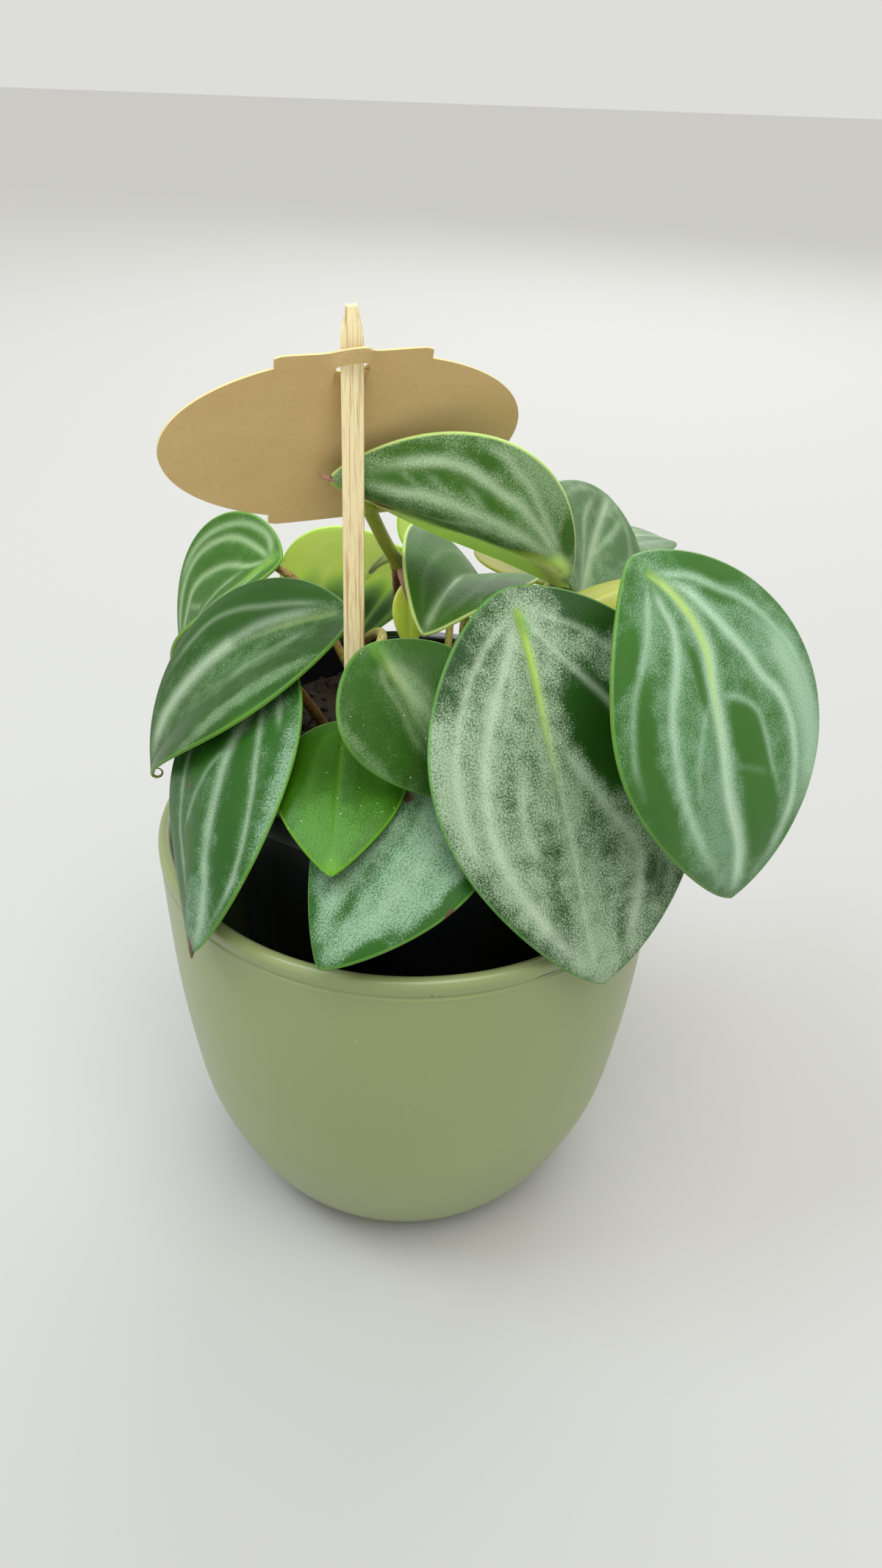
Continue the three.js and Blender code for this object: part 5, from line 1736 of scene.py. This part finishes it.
@dataclass
class Soil:
    """The root ball, with a crumbled top of clods, bark and fibre."""

    CLOD = np.array([
        (1, 1, 1), (-1, -1, 1), (-1, 1, -1), (1, -1, -1), (0, 0, 1.5),
        (0, 1.4, 0), (1.4, 0, 0), (-1.4, 0, 0), (0, -1.4, 0), (0, 0, -1.5),
    ])

    floor: float = 15.6
    floor_radius: float = 40.0
    edge_radius: float = 54.2
    crumbs: int = 900

    def top(self, x: np.ndarray, y: np.ndarray) -> np.ndarray:
        """Finds how high the crumbled surface is.

        Args:
            x: Distances to the right.
            y: Distances to the back.

        Returns:
            The height at each point.
        """
        radius = np.hypot(x, y - POT_BACK)
        bumps = ((1.3, 0.06, 3.0), (0.9, 0.25, 7.0), (0.5, 0.7, 1.0))
        rough = np.array([
            sum(high * noise.noise(Vector((a * fine, b * fine, layer))) for high, fine, layer in bumps)
            for a, b in zip(x.ravel(), y.ravel())
        ]).reshape(x.shape)
        return SOIL_TOP - 0.9 + rough - 1.5 * ease(radius, self.edge_radius - 12, self.edge_radius)

    def ball(self) -> Shell:
        """Builds the root ball with its uneven top.

        Returns:
            A closed shell.
        """
        widen = self.edge_radius - self.floor_radius
        side = [(0, self.floor), (self.floor_radius, self.floor)]
        side += [(self.floor_radius + widen * s, self.floor + 128 * s) for s in (0.3, 0.6, 0.9)]
        rings = [(self.edge_radius * (1 - s), SOIL_TOP) for s in np.linspace(0.0, 0.985, 64)]
        shell = turned(np.array([*side, *rings, (0, SOIL_TOP)]), 150)
        crest = shell.points[:, 2] >= SOIL_TOP - 0.01
        shell.points[:, 1] += POT_BACK
        shell.points[crest, 2] = self.top(shell.points[crest, 0], shell.points[crest, 1])
        return shell

    def crumb(self, rng: np.random.Generator) -> np.ndarray:
        """Drops one crumb on the soil.

        Args:
            rng: The source of its place, size and shape.

        Returns:
            The crumb's points.
        """
        reach = (self.edge_radius - 1.5) * math.sqrt(rng.random())
        turn = rng.random() * 2 * math.pi
        x, y = reach * math.cos(turn), reach * math.sin(turn) + POT_BACK
        size = 0.4 + 1.1 * rng.random() ** 2.5
        stretch = rng.uniform(0.6, 1.4, 3)
        spin = np.array(Matrix.Rotation(rng.random() * 6.3, 3, Vector(rng.normal(size=3)).normalized()))
        cloud = (self.CLOD * rng.uniform(0.8, 1.2, (len(self.CLOD), 1)) * stretch * size) @ spin.T
        base = self.top(np.array([x]), np.array([y]))[0]
        return cloud + np.array([x, y, base + 0.3 * size])

    def clod_faces(self) -> list[tuple[int, int, int]]:
        """Finds the outer triangles of a clod.

        Returns:
            Triangles that face outwards.
        """
        faces = []
        for i, j, k in combinations(range(len(self.CLOD)), 3):
            normal = np.cross(self.CLOD[j] - self.CLOD[i], self.CLOD[k] - self.CLOD[i])
            beyond = (self.CLOD - self.CLOD[i]) @ normal
            if np.all(beyond <= 1e-9):
                faces.append((i, j, k))
            elif np.all(beyond >= -1e-9):
                faces.append((i, k, j))
        return faces

    def build(self) -> bpy.types.Object:
        """Builds the soil's object.

        Returns:
            The soil.
        """
        rng = np.random.default_rng(12)
        ball, clod = self.ball(), self.clod_faces()
        points, faces = [ball.points], list(ball.faces)
        for number in range(self.crumbs):
            start = len(ball.points) + number * len(self.CLOD)
            points.append(self.crumb(rng))
            faces.extend(tuple(i + start for i in face) for face in clod)
        shell = Shell(np.vstack(points), faces)
        piece = shell.piece("soil_crumbled", [Finish.PEAT.material()], sharp=35.0)
        return fit_out(piece, "soil", "soil")


# ---- stick and card ----


@dataclass
class BambooStick:
    """The flat stick, planed on four sides, with a cut and tapered top."""

    x: float = -15.0
    y: float = -20.0
    width: float = 5.0
    depth: float = 2.4
    bottom: float = 112.0
    top: float = 270.0
    taper: float = 6.2
    tip_width: float = 2.7
    corner: float = 0.35

    def section(self, z: float) -> tuple[float, float]:
        """Gives the half width and half depth at a height.

        Args:
            z: The height.

        Returns:
            Half width and half depth.
        """
        into = max(0.0, (z - (self.top - self.taper)) / self.taper)
        half = self.width / 2 - (self.width - self.tip_width) / 2 * min(1.0, into * 1.12)
        deep = self.depth / 2 * (1 - 0.25 * into**2)
        return half, deep

    def ring(self, z: float) -> list[Point]:
        """Draws the stick's edge at a height, a little smaller at the cut ends.

        Args:
            z: The height.

        Returns:
            Points round the stick, three at each corner.
        """
        half, deep = self.section(z)
        pinch = 0.45 if z in (self.bottom, self.top) else 0.0
        half, deep = half - pinch, deep - pinch * 0.6
        lean = 0.12 * math.sin(z / 31.0)
        ring = []
        for sx, sy, start in ((1, 1, 0), (-1, 1, 90), (-1, -1, 180), (1, -1, 270)):
            for step in (0, 45, 90):
                a = math.radians(start + step)
                x = self.x + sx * (half - self.corner) + self.corner * math.cos(a)
                y = self.y + sy * (deep - self.corner) + self.corner * math.sin(a)
                splinter = 0.25 * math.sin(3 * x) if z == self.top else 0
                ring.append((x + lean, y, z + splinter))
        return ring

    def build(self) -> bpy.types.Object:
        """Builds the stick's object.

        Returns:
            The stick.
        """
        heights = np.concatenate([
            [self.bottom], np.linspace(self.bottom + 0.5, self.top - self.taper - 0.6, 40),
            np.linspace(self.top - self.taper, self.top - 0.5, 14), [self.top - 0.2, self.top],
        ])
        rings = np.array([self.ring(z) for z in heights])
        count, sides = rings.shape[:2]
        faces: list[tuple[int, ...]] = [
            (i * sides + j, i * sides + (j + 1) % sides, (i + 1) * sides + (j + 1) % sides,
             (i + 1) * sides + j)
            for i in range(count - 1) for j in range(sides)
        ]
        faces.append(tuple(range(sides))[::-1])
        faces.append(tuple((count - 1) * sides + j for j in range(sides)))
        shell = Shell(rings.reshape(-1, 3), faces)
        piece = shell.piece("bamboo_stick_planed", [Finish.BAMBOO.material()], sharp=50.0)
        return fit_out(piece, "bamboo", "label_stick")


@dataclass
class KraftCard:
    """The blank oval card. A slit near its top lets a narrow band stand forward over the stick."""

    slot: Point = (-13.75, -17.2, 257.35)
    yaw: float = 22.0
    tilt: float = 16.4
    half_length: float = 43.75
    half_height: float = 20.75
    centre: tuple[float, float] = (-0.7, -18.85)
    tab_half_width: float = 18.35
    tab_half_height: float = 21.6
    thickness: float = 0.7
    slit: tuple[float, float] = (-5.7, 1.3)
    slit_at: float = -1.0
    arch: tuple[tuple[float, float], ...] = (
        (-8.4, 0.0), (-6.8, 0.5), (-5.0, 2.7), (-2.6, 4.3), (-0.4, 4.7), (1.4, 3.3), (2.8, 0.8), (4.4, 0.0),
    )
    arch_top: float = 4.7
    rise: float = 3.6

    def outline(self) -> list[tuple[float, float]]:
        """Draws the card's edge: an oval with a shallow tab above and below.

        Returns:
            The outline's points, anticlockwise.
        """
        cx, cy = self.centre
        corner = math.acos(self.tab_half_width / self.half_length)
        points = []
        for sign, start in ((1, -corner), (-1, math.pi - corner)):
            for k in range(49):
                a = start + 2 * corner * k / 48
                points.append((cx + self.half_length * math.cos(a), cy + self.half_height * math.sin(a)))
            y = cy + sign * self.tab_half_height
            for k in range(25):
                s = 1 - 2 * k / 24
                x = cx + sign * self.tab_half_width * s
                fall = 0.9 * (1 - math.sqrt(max(0.0, 1 - (abs(s) ** 16))))
                points.append((x, y - sign * 0.6 * fall))
        return points

    def hole(self) -> list[tuple[float, float]]:
        """Draws the slit, which gapes a little under the band.

        Returns:
            The slit's points, clockwise from its left end.
        """
        left, right = self.slit
        share = np.linspace(0, 1, 21)
        gape = np.sin(np.pi * share) ** 0.6
        upper = [(left + (right - left) * s, self.slit_at + 0.3 * g) for s, g in zip(share, gape)]
        lower = [(left + (right - left) * s, self.slit_at - 0.8 * g) for s, g in zip(share, gape)]
        return upper + lower[-2:0:-1]

    def lifted(self, x: np.ndarray, y: np.ndarray) -> tuple[np.ndarray, np.ndarray]:
        """Finds how far the card stands forward and up, beside where it would lie flat.

        Args:
            x: Distances to the right of the slot.
            y: Distances above it.

        Returns:
            How far forward, and how far up.
        """
        line = spline(self.arch, 80)
        hump = np.interp(x, line[:, 0], np.maximum(line[:, 1], 0))
        left, right = self.slit
        over = ease(x, left - 0.3, left + 0.5) * (1 - ease(x, right - 0.5, right + 0.3))
        below = ease(y, -7.0, self.slit_at) * (1 - over)
        share = np.where(y >= self.slit_at - 0.01, 1.0, below)
        bow = 0.0006 * (x - self.centre[0]) ** 2
        return hump * share - bow, hump / self.arch_top * share * self.rise

    def net(self) -> list[Vector]:
        """Lays points over the card, closer together where it bends round the stick.

        Returns:
            The points.
        """
        points = []
        for x in np.arange(-45, 45, 2.2):
            for y in np.arange(-41, 3.2, 2.2):
                if not (y > -9 and -9 < x < 5.5):
                    points.append(Vector((float(x) + 0.31, float(y) + 0.17)))
        for x in np.arange(-9, 5.5, 0.5):
            for y in np.arange(-9, 2.6, 0.7):
                beside = self.slit[0] - 0.3 < x < self.slit[1] + 0.3
                if not (beside and self.slit_at - 1.2 < y < self.slit_at + 0.7):
                    points.append(Vector((float(x), float(y) + 0.05)))
        return points

    def cut(self) -> tuple[np.ndarray, list[tuple[int, ...]]]:
        """Cuts the flat card out, with its slit.

        Returns:
            Points of the flat card, and the triangles between them.
        """
        outline, hole = self.outline(), self.hole()
        n, m = len(outline), len(hole)
        edges = [(i, (i + 1) % n) for i in range(n)] + [(n + i, n + (i + 1) % m) for i in range(m)]
        points = [Vector(p) for p in outline + hole] + self.net()
        flat, _, triangles, *_ = geometry.delaunay_2d_cdt(points, edges, [], 2, 1e-4)
        middles = [np.mean([flat[i] for i in t], axis=0) for t in triangles]
        keep = [t for t, c in zip(triangles, middles) if self.inside(c, outline) and not self.inside(c, hole)]
        used = sorted({i for t in keep for i in t})
        index = {old: new for new, old in enumerate(used)}
        return np.array([flat[i] for i in used]), [tuple(index[i] for i in t) for t in keep]

    def inside(self, point: np.ndarray, outline: list[tuple[float, float]]) -> bool:
        """Tells whether a point lies within an outline.

        Args:
            point: The point on the flat card.
            outline: The outline's corners in turn.

        Returns:
            Whether it lies within.
        """
        x, y = float(point[0]), float(point[1])
        hit = False
        for (ax, ay), (bx, by) in zip(outline, outline[1:] + outline[:1]):
            if (ay > y) != (by > y) and x < (bx - ax) * (y - ay) / (by - ay) + ax:
                hit = not hit
        return hit

    def stood(self, local: np.ndarray) -> np.ndarray:
        """Turns and tilts the card, and hangs it on the stick by its slot.

        Args:
            local: Points by their distance to the right, up and forward.

        Returns:
            The points in the part's frame.
        """
        yaw, tilt = math.radians(self.yaw), math.radians(self.tilt)
        facing = np.array([math.sin(yaw), -math.cos(yaw), 0])
        right = np.array([math.cos(yaw), math.sin(yaw), 0])
        up = np.array([0, 0, math.cos(tilt)]) + facing * math.sin(tilt)
        out = np.cross(right, up)
        return np.array(self.slot) + local[:, :1] * right + local[:, 1:2] * up + local[:, 2:] * out

    def build(self) -> bpy.types.Object:
        """Builds the card's object.

        Returns:
            The card, with its faces in slot 0 and its cut edges in slot 1.
        """
        xy, front = self.cut()
        forward, rise = self.lifted(xy[:, 0], xy[:, 1])
        xy = xy + np.stack([np.zeros(len(xy)), rise], axis=1)
        half, count = self.thickness / 2, len(xy)
        local = np.vstack([np.column_stack([xy, forward + half]), np.column_stack([xy, forward - half])])
        sides = dict.fromkeys(edge for a, b, c in front for edge in ((a, b), (b, c), (c, a)))
        rim = [(a, b) for a, b in sides if (b, a) not in sides]
        faces = [*front, *[(a + count, c + count, b + count) for a, b, c in front]]
        slots = [0] * len(faces) + [1] * len(rim)
        faces += [(b, a, a + count, b + count) for a, b in rim]
        materials = [Finish.KRAFT.material(), Finish.KRAFT_EDGE.material()]
        piece = Shell(self.stood(local), faces, slots).piece("kraft_card_cut", materials, sharp=45.0)
        return fit_out(piece, "kraft_card", "label_card")


# ---- stage ----


@dataclass
class Studio:
    """A pale floor, soft lights, and a camera that looks down at the plant from the front."""

    camera_at: Point = (0.0, -0.2838, 0.3209)
    yaw: float = 1.71
    pitch: float = 32.97
    roll: float = 2.21
    focal: float = 1600.0
    long_side: float = 2133.0
    sensor: float = 36.0

    def placed(self, name: str, data: bpy.types.ID) -> bpy.types.Object:
        """Puts a new object in the scene.

        Args:
            name: The object's name.
            data: Its mesh, light or camera.

        Returns:
            The object.
        """
        thing = bpy.data.objects.new(name, data)
        bpy.context.scene.collection.objects.link(thing)
        return thing

    def camera(self) -> None:
        """Makes the scene's camera."""
        yaw, pitch, roll = (math.radians(a) for a in (self.yaw, self.pitch, self.roll))
        ahead = Vector((math.sin(yaw) * math.cos(pitch), math.cos(yaw) * math.cos(pitch), -math.sin(pitch)))
        right = Vector((math.cos(yaw), -math.sin(yaw), 0))
        up = right.cross(ahead)
        turned_right = right * math.cos(roll) + up * math.sin(roll)
        turned_up = -right * math.sin(roll) + up * math.cos(roll)
        data = bpy.data.cameras.new("front_camera")
        data.sensor_width = self.sensor
        data.lens = self.focal * self.sensor / self.long_side
        data.clip_start = 0.01
        camera = self.placed("front_camera", data)
        basis = Matrix((turned_right, turned_up, -ahead)).transposed().to_4x4()
        camera.matrix_world = Matrix.Translation(self.camera_at) @ basis
        bpy.context.scene.camera = camera

    def window(self, name: str, at: Point, size: float, power: float, colour: str) -> None:
        """Adds one soft square light that faces the plant.

        Args:
            name: The light's name.
            at: Where it is, in metres.
            size: Its side, in metres.
            power: Its power in watts.
            colour: Its sRGB colour.
        """
        data = bpy.data.lights.new(name, "AREA")
        data.size = size
        data.energy = power
        data.color = linear(colour)[:3]
        lamp = self.placed(name, data)
        lamp.location = at
        lamp.rotation_mode = "QUATERNION"
        lamp.rotation_quaternion = (Vector((0, 0, 0.14)) - Vector(at)).to_track_quat("-Z", "Y")
        lamp.visible_camera = False

    def daylight(self) -> None:
        """Adds the pale air all round and a broad, soft sun."""
        world = bpy.data.worlds.new("studio_air")
        world.use_nodes = True
        background = world.node_tree.nodes["Background"].inputs
        background["Color"].default_value = linear("f4f4f2")
        background["Strength"].default_value = 0.8
        bpy.context.scene.world = world
        data = bpy.data.lights.new("soft_daylight", "SUN")
        data.energy = 2.0
        data.angle = math.radians(42)
        data.color = linear("fffdf8")[:3]
        lamp = self.placed("soft_daylight", data)
        lamp.rotation_mode = "QUATERNION"
        lamp.rotation_quaternion = Vector((-0.1, 0.34, -0.93)).to_track_quat("-Z", "Y")

    def build(self) -> None:
        """Builds the floor, the lights and the camera."""
        mesh = bpy.data.meshes.new("floor")
        mesh.from_pydata([(-4, -4, 0), (4, -4, 0), (4, 6, 0), (-4, 6, 0)], [], [(0, 1, 2, 3)])
        mesh.materials.append(StudioFloor().build())
        floor = self.placed("floor", mesh)
        floor.location.z = -0.0002
        self.daylight()
        self.window("window_left", (-0.8, -0.1, 1.35), 0.5, 8.0, "e6f1ff")
        self.window("window_back", (0.35, 1.35, 1.15), 1.3, 12.0, "fbfdff")
        self.camera()
        bpy.context.scene.view_settings.view_transform = "Standard"


def main() -> None:
    """Builds the stage and every piece."""
    logging.basicConfig(level=logging.INFO, format="%(message)s")
    Studio().build()
    made = [part().build() for part in (Cachepot, NurseryPot, Soil, BambooStick, KraftCard)]
    made += Stems().build()
    made += Foliage().build()
    for piece in made:
        LOG.info("%s: %d faces", piece.name, len(piece.data.polygons))


if __name__ == "__main__":
    main()
